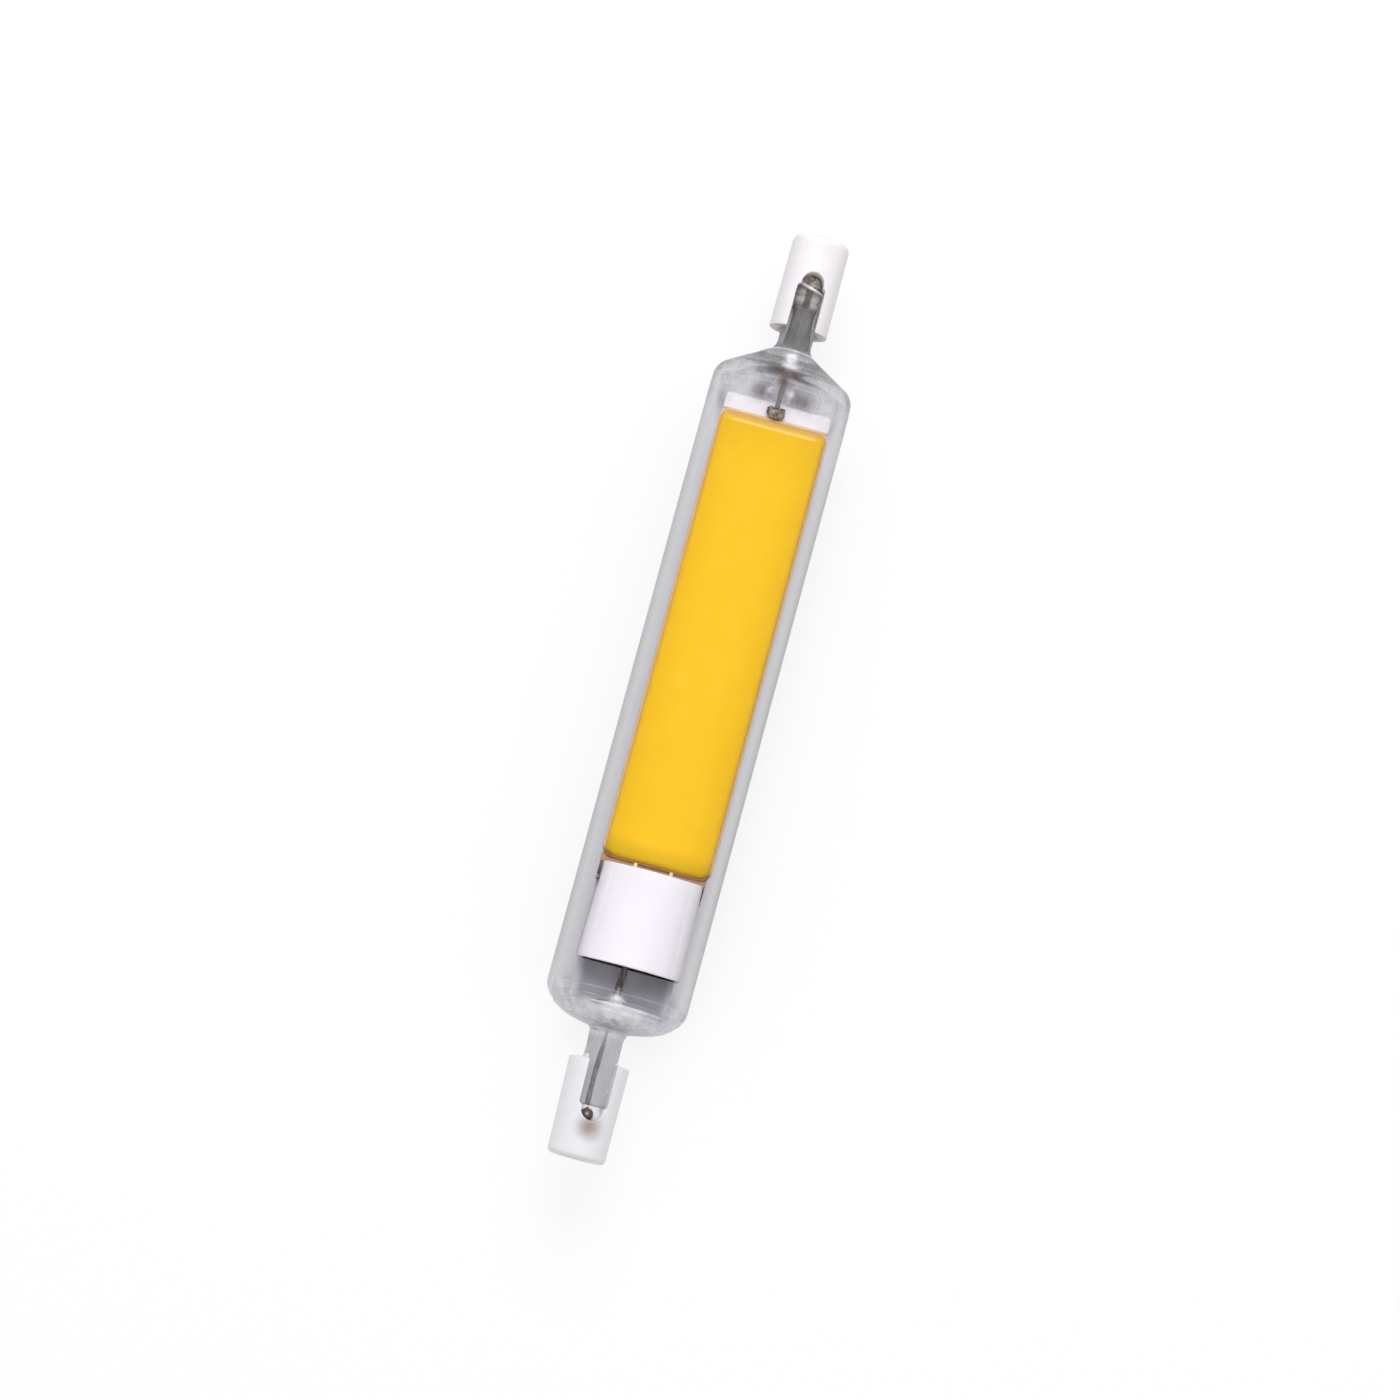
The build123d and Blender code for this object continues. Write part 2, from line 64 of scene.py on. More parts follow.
def gridFaces(points, wrapU=False, wrapV=False, closeStart=False, closeEnd=False, flip=False):
    # points[i, j] is the place at step i along the shape and step j round it.
    # wrapU and wrapV join the last row or column to the first. closeStart and closeEnd fan the end rows shut.
    rows, cols = points.shape[:2]
    verts = points.reshape(-1, 3)
    i = np.arange(rows if wrapU else rows - 1)[:, None]
    j = np.arange(cols if wrapV else cols - 1)[None, :]
    i2 = (i + 1) % rows
    j2 = (j + 1) % cols
    faces = [np.stack([i * cols + j, i2 * cols + j, i2 * cols + j2, i * cols + j2], -1).reshape(-1, 4)]
    jj = np.arange(cols)
    extra = []
    if closeStart:
        faces.append(np.stack([np.full(cols, len(verts)), jj, (jj + 1) % cols], -1))
        extra.append(points[0].mean(0))
    if closeEnd:
        base = (rows - 1) * cols
        tip = np.full(cols, len(verts) + len(extra))
        faces.append(np.stack([tip, base + (jj + 1) % cols, base + jj], -1))
        extra.append(points[-1].mean(0))
    if extra:
        verts = np.concatenate([verts, np.array(extra)])
    if flip:
        faces = [f[:, ::-1] for f in faces]
    return verts, faces


def makePiece(name, grids, marks=None):
    # Several grids joined into one smooth object, with its place in its mesh. marks maps a name to one number
    # a vertex.
    places = []
    loops = []
    totals = []
    offset = 0
    for verts, faces in grids:
        places.append(verts)
        for f in faces:
            loops.append((f + offset).reshape(-1))
            totals.append(np.full(len(f), f.shape[1]))
        offset += len(verts)
    co = np.concatenate(places) * mm
    loops = np.concatenate(loops).astype(np.int32)
    totals = np.concatenate(totals).astype(np.int32)
    starts = np.concatenate([[0], np.cumsum(totals)[:-1]]).astype(np.int32)
    mesh = bpy.data.meshes.new(name)
    mesh.vertices.add(len(co))
    mesh.vertices.foreach_set("co", co.astype(np.float32).reshape(-1))
    mesh.loops.add(len(loops))
    mesh.loops.foreach_set("vertex_index", loops)
    mesh.polygons.add(len(starts))
    mesh.polygons.foreach_set("loop_start", starts)
    mesh.polygons.foreach_set("loop_total", totals)
    mesh.polygons.foreach_set("use_smooth", np.full(len(starts), True))
    mesh.update(calc_edges=True)
    for key, values in (marks or {}).items():
        layer = mesh.attributes.new(key, "FLOAT", "POINT")
        layer.data.foreach_set("value", np.asarray(values, np.float32))
    piece = bpy.data.objects.new(name, mesh)
    bpy.context.scene.collection.objects.link(piece)
    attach(piece, "root")
    return piece


def splineRows(places, count):
    # Smooth curve through the places as count rows, in Catmull-Rom spans of equal numbers of steps:
    # 0.5 * (2b + (c - a)f + (2a - 5b + 4c - d)f^2 + (3b - a - 3c + d)f^3) between the places b and c.
    p = np.asarray(places, float)
    p = np.concatenate([2 * p[:1] - p[1:2], p, 2 * p[-1:] - p[-2:-1]])
    spans = len(p) - 3
    t = np.linspace(0, spans, count)
    k = np.minimum(t.astype(int), spans - 1)
    f = (t - k)[:, None]
    a, b, c, d = p[k], p[k + 1], p[k + 2], p[k + 3]
    square = (2 * a - 5 * b + 4 * c - d) * f ** 2
    cube = (3 * b - a - 3 * c + d) * f ** 3
    return 0.5 * (2 * b + (c - a) * f + square + cube)


def newMaterial(name):
    mat = bpy.data.materials.new(name)
    mat.use_nodes = True
    tree = mat.node_tree
    tree.nodes.clear()
    return mat, tree, tree.nodes.new("ShaderNodeOutputMaterial")


def linear(r, g, b):
    # A screen colour from 0 to 255 as the linear colour that sockets take.
    c = np.array([r, g, b]) / 255
    c = np.where(c <= 0.04045, c / 12.92, ((c + 0.055) / 1.055) ** 2.4)
    return (float(c[0]), float(c[1]), float(c[2]), 1.0)


def addNode(tree, kind, **inputs):
    node = tree.nodes.new(kind)
    for key, value in inputs.items():
        node.inputs[key].default_value = value
    return node


def sumOf(tree, operation, *values):
    # One Math node. Each value is a socket or a number.
    node = tree.nodes.new("ShaderNodeMath")
    node.operation = operation
    for k, value in enumerate(values):
        if isinstance(value, (int, float)):
            node.inputs[k].default_value = value
        else:
            tree.links.new(value, node.inputs[k])
    return node.outputs[0]


def dress(piece, mat):
    # One material for the whole piece, in every slot that it has.
    if not piece.material_slots:
        piece.data.materials.append(mat)
    for s in piece.material_slots:
        s.material = mat


def objectPlace(tree):
    # X, Y and Z of the point in metres.
    coords = tree.nodes.new("ShaderNodeTexCoord")
    split = tree.nodes.new("ShaderNodeSeparateXYZ")
    tree.links.new(coords.outputs["Object"], split.inputs[0])
    return split.outputs[:]


def noiseOn(tree, scale, detail=4.0, rough=0.55, stretch=(1, 1, 1)):
    # Noise on Object coordinates, in cycles a metre, stretched along the three axes.
    coords = tree.nodes.new("ShaderNodeTexCoord")
    mapping = addNode(tree, "ShaderNodeMapping", Scale=stretch)
    tree.links.new(coords.outputs["Object"], mapping.inputs["Vector"])
    noise = addNode(tree, "ShaderNodeTexNoise", Scale=scale, Detail=detail, Roughness=rough)
    tree.links.new(mapping.outputs["Vector"], noise.inputs["Vector"])
    return noise.outputs["Fac"]


def ramped(tree, source, stops):
    # Colour ramp fed by source. stops are (place, colour) pairs.
    ramp = tree.nodes.new("ShaderNodeValToRGB")
    band = ramp.color_ramp
    band.elements[0].position, band.elements[0].color = stops[0]
    band.elements[1].position, band.elements[1].color = stops[-1]
    for place, colour in stops[1:-1]:
        band.elements.new(place).color = colour
    tree.links.new(source, ramp.inputs["Fac"])
    return ramp.outputs["Color"]


def spanned(tree, source, low, high, toLow=0.0, toHigh=1.0):
    # source from low..high to toLow..toHigh, eased at both ends and held beyond them.
    node = tree.nodes.new("ShaderNodeMapRange")
    node.interpolation_type = "SMOOTHSTEP"
    for key, value in (("From Min", low), ("From Max", high), ("To Min", toLow), ("To Max", toHigh)):
        node.inputs[key].default_value = value
    tree.links.new(source, node.inputs["Value"])
    return node.outputs["Result"]


def mixed(tree, factor, a, b):
    # Colour mix. Each colour is a socket or a tuple, in the node's two colour sockets.
    node = tree.nodes.new("ShaderNodeMix")
    node.data_type = "RGBA"
    tree.links.new(factor, node.inputs[0])
    for key, value in ((6, a), (7, b)):
        if isinstance(value, tuple):
            node.inputs[key].default_value = value
        else:
            tree.links.new(value, node.inputs[key])
    return node.outputs[2]


def overlaid(tree, factor, first, second):
    # Shader mix: the first where factor is 0, the second where it is 1.
    node = tree.nodes.new("ShaderNodeMixShader")
    tree.links.new(factor, node.inputs["Fac"])
    tree.links.new(first.outputs[0], node.inputs[1])
    tree.links.new(second.outputs[0], node.inputs[2])
    return node


def gapTo(tree, x, y, middle):
    # Distance across X and Y to the middle: sqrt(dx * dx + dy * dy), in metres.
    dx = sumOf(tree, "SUBTRACT", x, middle[0])
    dy = sumOf(tree, "SUBTRACT", y, middle[1])
    squares = sumOf(tree, "ADD", sumOf(tree, "MULTIPLY", dx, dx), sumOf(tree, "MULTIPLY", dy, dy))
    return sumOf(tree, "SQRT", squares)


def sideOf(tree, y, middle):
    # Distance from middle along Y, in metres.
    return sumOf(tree, "ABSOLUTE", sumOf(tree, "SUBTRACT", y, middle))


def bumpTo(tree, height, strength, distance, shader):
    bump = addNode(tree, "ShaderNodeBump", Strength=strength, Distance=distance)
    tree.links.new(height, bump.inputs["Height"])
    tree.links.new(bump.outputs["Normal"], shader.inputs["Normal"])


def speckled(name, spec):
    # Solid finish: two close colours mixed by noise, roughness that varies with it, and a fine bump.
    # spec's tint is a function that may change the colour before it reaches the shader.
    mat, tree, out = newMaterial(name)
    shader = addNode(tree, "ShaderNodeBsdfPrincipled", Metallic=spec.get("metallic", 0.0), IOR=1.5)
    stretch = spec.get("stretch", (1, 1, 1))
    noise = noiseOn(tree, spec["scale"], spec.get("detail", 5.0), 0.6, stretch)
    colour = ramped(tree, noise, [(0.35, linear(*spec["dark"])), (0.65, linear(*spec["light"]))])
    if "tint" in spec:
        colour = spec["tint"](tree, colour)
    tree.links.new(colour, shader.inputs["Base Color"])
    low, high = spec["roughness"]
    tree.links.new(spanned(tree, noise, 0.25, 0.75, low, high), shader.inputs["Roughness"])
    fine = noiseOn(tree, spec.get("bumpScale", spec["scale"] * 6), 3.0, 0.5, stretch)
    bumpTo(tree, fine, spec["bump"], 0.00005, shader)
    tree.links.new(shader.outputs["BSDF"], out.inputs["Surface"])
    return mat


# Blown glass
glassSpec = {
    "tubeRadius": 8.85,
    "wall": 1.1,
    "stemRadius": 2.14,
    "lightStemEnd": 53.45,
    "driverStemEnd": 52.5,
    "cutLight": 0.34,       # slope across Y of the light stem's broken end
    "cutDriver": -0.09,
    "cutReach": 4.0,        # both cuts bend this much of their stem
    "around": 192,
    "index": 1.47,
    "tint": (0.955, 0.953, 0.967, 1),
    "deepTint": (0.5, 0.5, 0.515, 1),
    "shadowTint": (0.96, 0.96, 0.965, 1),
    # colour of each layer over the glass, and the streaks that thin or thicken it: low..high to less..more
    "layers": {
        # frosted white; the patches also use this layer for painted highlights and painted light
        "frostAndHighlight": ((247, 246, 251), (0.3, 0.7, 0.6, 1.4)),
        "milk": ((172, 172, 175), (0.3, 0.7, 0.75, 1.25)),
        # painted shade and painted dark refraction streaks, laid on only by the patches below
        "paintedDark": ((96, 84, 80), (0.35, 0.65, 0.3, 1.5)),
    },
    "streaks": 900,         # cycles a metre
    "stemStart": (0.0445, 0.0455),
    "dropRadius": 3.0,      # the hollow is clear round the light end's drop, and less frosted on it
    "dropClear": 0.6,
    "hollowClear": 0.8,
    "sealRadius": 4.2,      # the driver end's seal is frosted out to here
    "sealFrost": 0.5,
    # place along X in mm, then on the side to the view: roughness, depth of tint, share of frosted white,
    # share of milky grey, then on the far side: roughness, share of frosted white
    "zones": [
        (-53.0, 0.06, 0.10, 0.10, 0.30, 0.1, 0.50), (-47.5, 0.06, 0.10, 0.05, 0.32, 0.1, 0.50),
        (-45.3, 0.10, 0.12, 0.06, 0.38, 0.15, 0.50), (-44.0, 0.24, 0.10, 0.18, 0.40, 0.3, 0.60),
        (-42.9, 0.26, 0.05, 0.50, 0.10, 0.3, 0.85), (-41.8, 0.24, 0.02, 0.66, 0.0, 0.3, 0.95),
        (-40.8, 0.20, 0.0, 0.50, 0.0, 0.3, 0.95), (-40.1, 0.12, 0.0, 0.14, 0.0, 0.25, 0.6),
        (-39.4, 0.04, 0.0, 0.03, 0.0, 0.1, 0.25), (-37.4, 0.0, 0.0, 0.0, 0.0, 0.0, 0.0),
        (33.5, 0.0, 0.0, 0.0, 0.0, 0.0, 0.0), (35.5, 0.0, 0.0, 0.0, 0.0, 0.1, 0.25),
        (37.0, 0.02, 0.0, 0.08, 0.0, 0.2, 0.8), (38.4, 0.05, 0.0, 0.14, 0.0, 0.3, 1.0),
        (40.3, 0.10, 0.0, 0.16, 0.02, 0.3, 1.0), (41.0, 0.20, 0.10, 0.08, 0.26, 0.3, 0.95),
        (42.6, 0.22, 0.12, 0.05, 0.38, 0.3, 0.5), (43.8, 0.24, 0.16, 0.05, 0.40, 0.3, 0.1),
        (44.1, 0.28, 0.05, 0.60, 0.1, 0.3, 0.05), (44.45, 0.22, 0.70, 0.03, 0.30, 0.3, 0.0),
        (46.4, 0.18, 0.65, 0.02, 0.22, 0.3, 0.1), (47.6, 0.12, 0.30, 0.02, 0.12, 0.3, 0.3),
        (49.0, 0.12, 0.30, 0.02, 0.12, 0.3, 0.5), (50.2, 0.05, 0.12, 0.03, 0.06, 0.2, 0.7),
        (52.87, 0.05, 0.05, 0.06, 0.06, 0.2, 0.7), (53.03, 0.2, 0.0, 0.9, 0.0, 0.2, 0.7),
        (53.45, 0.2, 0.0, 1.0, 0.0, 0.2, 0.7),
    ],
    # painted highlights and painted shade on the side to the view: X, Y, radius along X, radius along Y,
    # change of frost and highlight, change of milk, change of tint's depth, change of the painted dark layer
    "patches": [
        (42.75, -0.1, 0.76, 0.62, 1.6, -1.0, -0.4, 0.0), (41.25, -0.2, 0.36, 0.9, 0.9, -0.4, -0.3, -0.8),
        (37.5, 5.2, 1.7, 2.6, 0.24, 0.0, 0.0, 0.0), (37.5, -5.6, 1.7, 2.6, 0.26, 0.0, 0.0, 0.0),
        (37.5, 1.5, 0.34, 0.26, 0.5, 0.0, 0.0, 0.0), (37.5, -1.2, 0.34, 0.26, 0.5, 0.0, 0.0, 0.0),
        (37.3, 2.3, 0.95, 1.3, -0.15, 0.0, 0.2, 0.3), (37.3, -2.8, 0.95, 1.5, -0.15, 0.0, 0.2, 0.32),
        (40.4, 1.1, 0.75, 1.7, -0.15, 0.0, 0.2, 0.4), (40.1, -1.4, 0.65, 1.6, -0.15, 0.0, 0.2, 0.4),
        (39.0, 0.0, 0.8, 0.7, -0.1, 0.0, 0.3, 0.45),
        (43.0, 3.6, 0.8, 0.6, -0.1, 0.1, 0.4, 0.3), (42.9, -3.2, 0.8, 0.6, -0.1, 0.1, 0.4, 0.3),
        (-39.4, 0.0, 0.35, 0.6, 0.9, 0.0, 0.0, 0.0), (-41.2, 0.0, 0.8, 2.6, 0.35, 0.0, 0.0, 0.0),
        (-39.7, 8.3, 1.3, 1.3, 0.7, 0.0, 0.0, 0.0), (-39.7, -8.3, 1.3, 1.3, 0.7, 0.0, 0.0, 0.0),
    ],
    # the same on the far side: painted shadow under the cover's end, and painted light at the driver end's
    # sides
    "farPatches": [
        (-38.3, -0.4, 1.3, 5.0, -0.6, 0.0, 0.5, 0.9),
        (-39.7, 8.3, 1.3, 1.3, 0.7, 0.0, 0.0, 0.0), (-39.7, -8.3, 1.3, 1.3, 0.7, 0.0, 0.0, 0.0),
    ],
}


def glassProfileOuter():
    # Outline of the blown glass from the driver stem's end to the light stem's end, as (place, radius) in mm.
    s = glassSpec["stemRadius"]
    r = glassSpec["tubeRadius"]
    e = glassSpec["lightStemEnd"]
    d = -glassSpec["driverStemEnd"]
    low = [(d, 0.35 * s), (d - 0.02, 0.75 * s), (d, s - 0.2), (d + 0.12, s - 0.04), (d + 0.4, s),
           (-50.5, s), (-48, s), (-46.2, s + 0.02), (-44.9, s)]
    flare = [(-44.0, 2.15), (-43.25, 2.24), (-42.93, 2.42), (-42.78, 2.75)]
    dome = [(-42.6, 3.6), (-42.3, 4.9), (-42.05, 5.7), (-41.72, 6.42), (-41.3, 7.08), (-40.8, 7.65),
            (-40.35, 8.08), (-39.85, 8.43), (-39.3, 8.72), (-38.6, 8.84), (-37.8, r)]
    tube = [(-30, r), (-15, r), (0, r), (15, r), (30, r), (37.6, r)]
    cone = [(38.6, 8.84), (39.3, 8.8), (39.8, 8.73), (40.3, 8.52), (40.75, 8.18), (41.2, 7.55),
            (41.65, 6.8), (42.35, 5.67), (43.05, 4.52), (43.75, 3.42), (44.05, 2.96), (44.35, 2.58),
            (44.75, 2.28), (45.3, s)]
    high = [(46.5, s), (48.5, s), (50.5, s), (e - 0.4, s), (e - 0.12, s - 0.03), (e, s - 0.14),
            (e + 0.02, 0.75 * s), (e, 0.35 * s)]
    return low + flare + dome + tube + cone + high


def glassProfileInner():
    # Outline of the hollow, from the tip of the driver seal's mound to the tip of the light seal's drop.
    r = glassSpec["tubeRadius"] - glassSpec["wall"]
    low = [(-38.4, 0.03), (-38.5, 0.6), (-38.85, 1.2), (-39.15, 1.8), (-39.4, 2.4), (-39.7, 3.0),
           (-40.1, 3.6), (-40.6, 4.2), (-40.95, 4.8), (-41.02, 5.5), (-40.85, 6.1), (-40.55, 6.65),
           (-40.2, 7.05), (-39.85, 7.36), (-39.4, 7.6), (-38.4, r)]
    tube = [(-30, r), (-15, r), (0, r), (15, r), (30, r), (38.0, r)]
    high = [(38.7, 7.74), (39.3, 7.66), (39.85, 7.42), (40.3, 7.0), (40.75, 6.35), (41.2, 5.6), (41.6, 4.8),
            (41.9, 4.0), (42.0, 3.4), (41.85, 2.9), (41.4, 2.4), (40.85, 1.82), (40.35, 1.45), (40.0, 1.38),
            (39.7, 1.4), (39.3, 1.66), (38.9, 1.87), (38.6, 1.85), (38.3, 1.65), (38.0, 1.0), (37.85, 0.05)]
    return low + tube + high


def turned(profile, steps):
    # Surface of revolution about X: row i is the circle of radius r(i) at place x(i), so y = r cos(a) and
    # z = r sin(a). Gives x, r and the angle a.
    rows = splineRows(profile, len(profile) * steps)
    a = np.linspace(0, 2 * math.pi, glassSpec["around"], endpoint=False)[None, :]
    x = rows[:, 0][:, None] + 0 * a
    r = np.maximum(rows[:, 1], 0.02)[:, None] + 0 * a
    return x, r, a + 0 * x


def near(x, middle, width):
    # Bell round middle, 1 at its top: exp(-((x - middle) / width)^2).
    return np.exp(-((x - middle) / width) ** 2)


def makeGlass():
    # Outer skin and hollow, both turned, with the slight unevenness of flame-worked glass: sums of a few
    # sines of angle and place, held to the seals and stems by bells. The stems end in leaning cuts:
    # x moves by slope * (y - stem radius) * (1 - distance from the end / reach)^1.5.
    spec = glassSpec
    x, r, a = turned(glassProfileOuter(), 8)
    r = r * (1 + near(x, -43.6, 1.4) * (0.012 * np.cos(2 * a + 0.6) + 0.02 * np.cos(3 * a + x * 2.0)))
    r = r * (1 + near(x, 44.2, 1.4) * 0.01 * np.cos(3 * a + 1.0))
    stem = np.clip((np.abs(x) - 45) / 1.5, 0, 1)
    r = r * (1 + stem * (0.008 * np.cos(2 * a + x * 0.9) + 0.006 * np.sin(5 * a + 1.3 * x)))
    r = r + near(x, -41.0, 1.1) * (0.05 * np.sin(x * 9.0 + 0.7 * np.cos(a)) + 0.03 * np.sin(4 * a + 5 * x))
    y = r * np.cos(a)
    cut = y - spec["stemRadius"]
    lightCut = spec["cutLight"] * cut + 0.08 * np.sin(3 * a + 0.5)
    nearLight = np.clip((x - spec["lightStemEnd"]) / spec["cutReach"] + 1, 0, 1)
    nearDriver = np.clip((-x - spec["driverStemEnd"]) / spec["cutReach"] + 1, 0, 1)
    leaning = nearLight ** 1.5 * lightCut
    leaning = leaning + nearDriver ** 1.5 * spec["cutDriver"] * cut
    skin = np.stack([x + leaning, y, r * np.sin(a)], -1)
    xi, ri, ai = turned(glassProfileInner(), 8)
    low = near(xi, -40.3, 1.0)
    high = near(xi, 40.6, 0.9)
    px = xi + low * (0.10 * np.sin(ri * 5.0 + 0.8 * np.sin(2 * ai)) + 0.06 * np.sin(3 * ai + ri * 2))
    px = px + high * (0.05 * np.sin(ri * 4.0 + np.cos(3 * ai)) + 0.03 * np.sin(5 * ai + ri))
    hollow = np.stack([px, ri * np.cos(ai), ri * np.sin(ai)], -1)
    outside = gridFaces(skin, wrapV=True, closeStart=True, closeEnd=True, flip=True)
    inside = gridFaces(hollow, wrapV=True, closeStart=True, closeEnd=True)
    every = np.concatenate([outside[0], inside[0]])
    along = np.concatenate([x.reshape(-1), [x[0, 0], x[-1, 0]], xi.reshape(-1), [xi[0, 0], xi[-1, 0]]])
    zones = np.array(spec["zones"])
    at = [np.interp(along, zones[:, 0], zones[:, k]) for k in range(1, 7)]
    radius = np.maximum(np.hypot(every[:, 1], every[:, 2]), 0.01)
    far = np.clip(0.35 - 1.6 * every[:, 2] / radius, 0, 1)
    marks = {"rough": at[0] + (at[4] - at[0]) * far, "deep": at[1], "milk": at[3] * (1 - 0.5 * far)}
    marks["frostAndHighlight"] = at[2] + (at[5] - at[2]) * far
    # the painted dark layer holds painted shade and dark refraction streaks, laid on by the patches below
    marks["paintedDark"] = 0 * at[0]
    inHollow = (np.arange(len(every)) >= len(outside[0])) * (along > 0)
    around = inHollow * (radius > spec["dropRadius"])
    drop = inHollow * (radius < spec["dropRadius"])
    clear = (1 - spec["hollowClear"] * around * (1 - far)) * (1 - spec["dropClear"] * drop)
    for key in ("frostAndHighlight", "milk"):
        marks[key] = marks[key] * clear
    for rows, side in ((spec["patches"], every[:, 2] > 0), (spec["farPatches"], every[:, 2] < 0)):
        for px, py, rx, ry, *changes in rows:
            bell = np.exp(-((along - px) / rx) ** 2 - ((every[:, 1] - py) / ry) ** 2) * side
            for key, change in zip(("frostAndHighlight", "milk", "deep", "paintedDark"), changes):
                marks[key] = marks[key] + change * bell
    seal = np.concatenate([0 * outside[0][:, 0], near(inside[0][:, 0], -39.9, 1.3)])
    seal = seal * (radius < spec["sealRadius"])
    marks["frostAndHighlight"] = marks["frostAndHighlight"] + spec["sealFrost"] * seal
    marks = {key: np.clip(values, 0, 1) for key, values in marks.items()}
    piece = makePiece("blownGlass", [outside, inside], marks)
    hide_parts("glass_envelope")
    return piece


def clearGlass():
    # Clear along the tube, rougher and greyer where it was worked in the flame. The amounts are the mesh's
    # own marks. Lamps shine through it without a caustic.
    # the marks carry painted highlights in the frost layer and painted shade in the painted dark layer
    spec = glassSpec
    mat, tree, out = newMaterial("clearGlass")
    link = tree.links.new
    marks = {}
    for key in ("rough", "deep", "frostAndHighlight", "milk", "paintedDark"):
        node = tree.nodes.new("ShaderNodeAttribute")
        node.attribute_name = key
        marks[key] = node.outputs["Fac"]
    far = sumOf(tree, "ABSOLUTE", objectPlace(tree)[0])
    stem = spanned(tree, far, *spec["stemStart"])
    drawn = sumOf(tree, "MULTIPLY", noiseOn(tree, spec["streaks"], 3.0, 0.5, (0.05, 1, 1)), stem)
    blown = noiseOn(tree, spec["streaks"], 4.0, 0.6, (0.35, 1, 1))
    blown = sumOf(tree, "MULTIPLY", blown, sumOf(tree, "SUBTRACT", 1.0, stem))
    streaks = sumOf(tree, "ADD", drawn, blown)
    bend = addNode(tree, "ShaderNodeBsdfRefraction", IOR=spec["index"])
    shine = addNode(tree, "ShaderNodeBsdfAnisotropic")
    depth = sumOf(tree, "MULTIPLY", marks["deep"], spanned(tree, streaks, 0.3, 0.7, 0.8, 1.2))
    colour = mixed(tree, depth, spec["tint"], spec["deepTint"])
    link(colour, bend.inputs["Color"])
    worked = sumOf(tree, "MULTIPLY", streaks, sumOf(tree, "MULTIPLY", marks["rough"], 4.0))
    for shader in (bend, shine):
        link(marks["rough"], shader.inputs["Roughness"])
        bumpTo(tree, worked, 0.2, 0.0002, shader)
    edge = addNode(tree, "ShaderNodeFresnel", IOR=spec["index"])
    shown = overlaid(tree, sumOf(tree, "POWER", edge.outputs[0], 1.5), bend, shine)
    # these layers include the painted highlights and the painted shade of the patches
    for key, (tone, change) in spec["layers"].items():
        layer = addNode(tree, "ShaderNodeBsdfDiffuse", Color=linear(*tone))
        amount = sumOf(tree, "MULTIPLY", marks[key], spanned(tree, streaks, *change))
        shown = overlaid(tree, amount, shown, layer)
    clear = addNode(tree, "ShaderNodeBsdfTransparent", Color=spec["shadowTint"])
    path = tree.nodes.new("ShaderNodeLightPath")
    shown = overlaid(tree, path.outputs["Is Shadow Ray"], shown, clear)
    link(shown.outputs[0], out.inputs["Surface"])
    return mat


# Phosphor slab
slabSpec = {
    "lightEnd": 35.3,
    "driverEnd": -21.95,
    "width": 13.4,
    "base": -0.32,
    "height": 0.9,
    "edge": 0.75,           # radius of the rounded upper edge
    "slope": 1.25,          # length of the rounding at the light end
    "lightCorner": 0.6,
    "driverCorner": 1.2,
    "fineDriver": 2.2,      # length of the finer rows at the driver end, and at the light end
    "fineLight": 1.2,
    "waves": (0.012, 0.008),
    # small pits: place along X, place along Y, radius, depth
    "pits": [
        (31.6, 4.0, 0.16, 0.05), (31.5, 1.2, 0.13, 0.05), (31.4, -2.5, 0.16, 0.05),
        (32.2, -5.3, 0.14, 0.05), (26.4, 3.1, 0.15, 0.04), (19.8, -4.2, 0.14, 0.04),
    ],
}


def makeSlab():
    # Upper surface over X: half width w(e) and height h(e), where e is the distance to the nearer end. Both
    # follow a quarter circle of the corner's or the edge's radius c, c * (1 - sqrt(1 - (1 - e / c)^2)).
    # Across Y the section falls by the same quarter circle at both edges. Two low waves and the pits' bells
    # are added.
    s = slabSpec
    ends = 1 - np.cos(np.linspace(0, math.pi / 2, 26))
    low = s["driverEnd"] + s["fineDriver"] * ends
    high = s["lightEnd"] - s["fineLight"] * ends[::-1]
    x = np.concatenate([low, np.linspace(low[-1], high[0], 150)[1:-1], high])[:, None]
    toLow = x - s["driverEnd"]
    toHigh = s["lightEnd"] - x

    def cornered(e, c):
        k = np.clip(1 - e / c, 0, 1)
        return c * (1 - np.sqrt(np.maximum(1 - k ** 2, 0)))

    w = s["width"] / 2 - cornered(toLow, s["driverCorner"]) - cornered(toHigh, s["lightCorner"])
    h = s["height"] - cornered(np.minimum(toLow, toHigh * s["edge"] / s["slope"]), s["edge"])
    t = np.linspace(-1, 1, 90)[None, :]
    spread = np.sin(t * math.pi / 2) * 0.35 + t * 0.65
    y = w * spread
    k = np.clip((np.abs(y) - (w - s["edge"])) / s["edge"], 0, 1)
    drop = s["edge"] * (1 - np.sqrt(np.maximum(1 - k ** 2, 0)))
    waves = s["waves"][0] * np.sin(x * 0.9 + y * 0.4) + s["waves"][1] * np.sin(x * 2.3 - y * 1.1)
    z = h - drop + waves * (1 - k)
    speck = 0 * z
    for px, py, radius, depth in s["pits"]:
        bell = np.exp(-((x - px) ** 2 + (y - py) ** 2) / radius ** 2)
        z = z - depth * bell
        speck = np.maximum(speck, bell)
    top = np.stack([x + 0 * y, y + strayed(x), z + s["base"]], -1)
    floor = np.stack([x + 0 * y, y + strayed(x), 0 * y + s["base"]], -1)[:, ::-1]
    ring = np.concatenate([top, floor[:, ::6]], 1)
    grid = gridFaces(ring, wrapV=True, closeStart=True, closeEnd=True)
    marks = np.concatenate([np.concatenate([speck, 0 * floor[:, ::6, 0]], 1).reshape(-1), [0, 0]])
    piece = makePiece("phosphorSlab", [grid], {"speck": marks})
    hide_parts("phosphor_slab")
    return piece


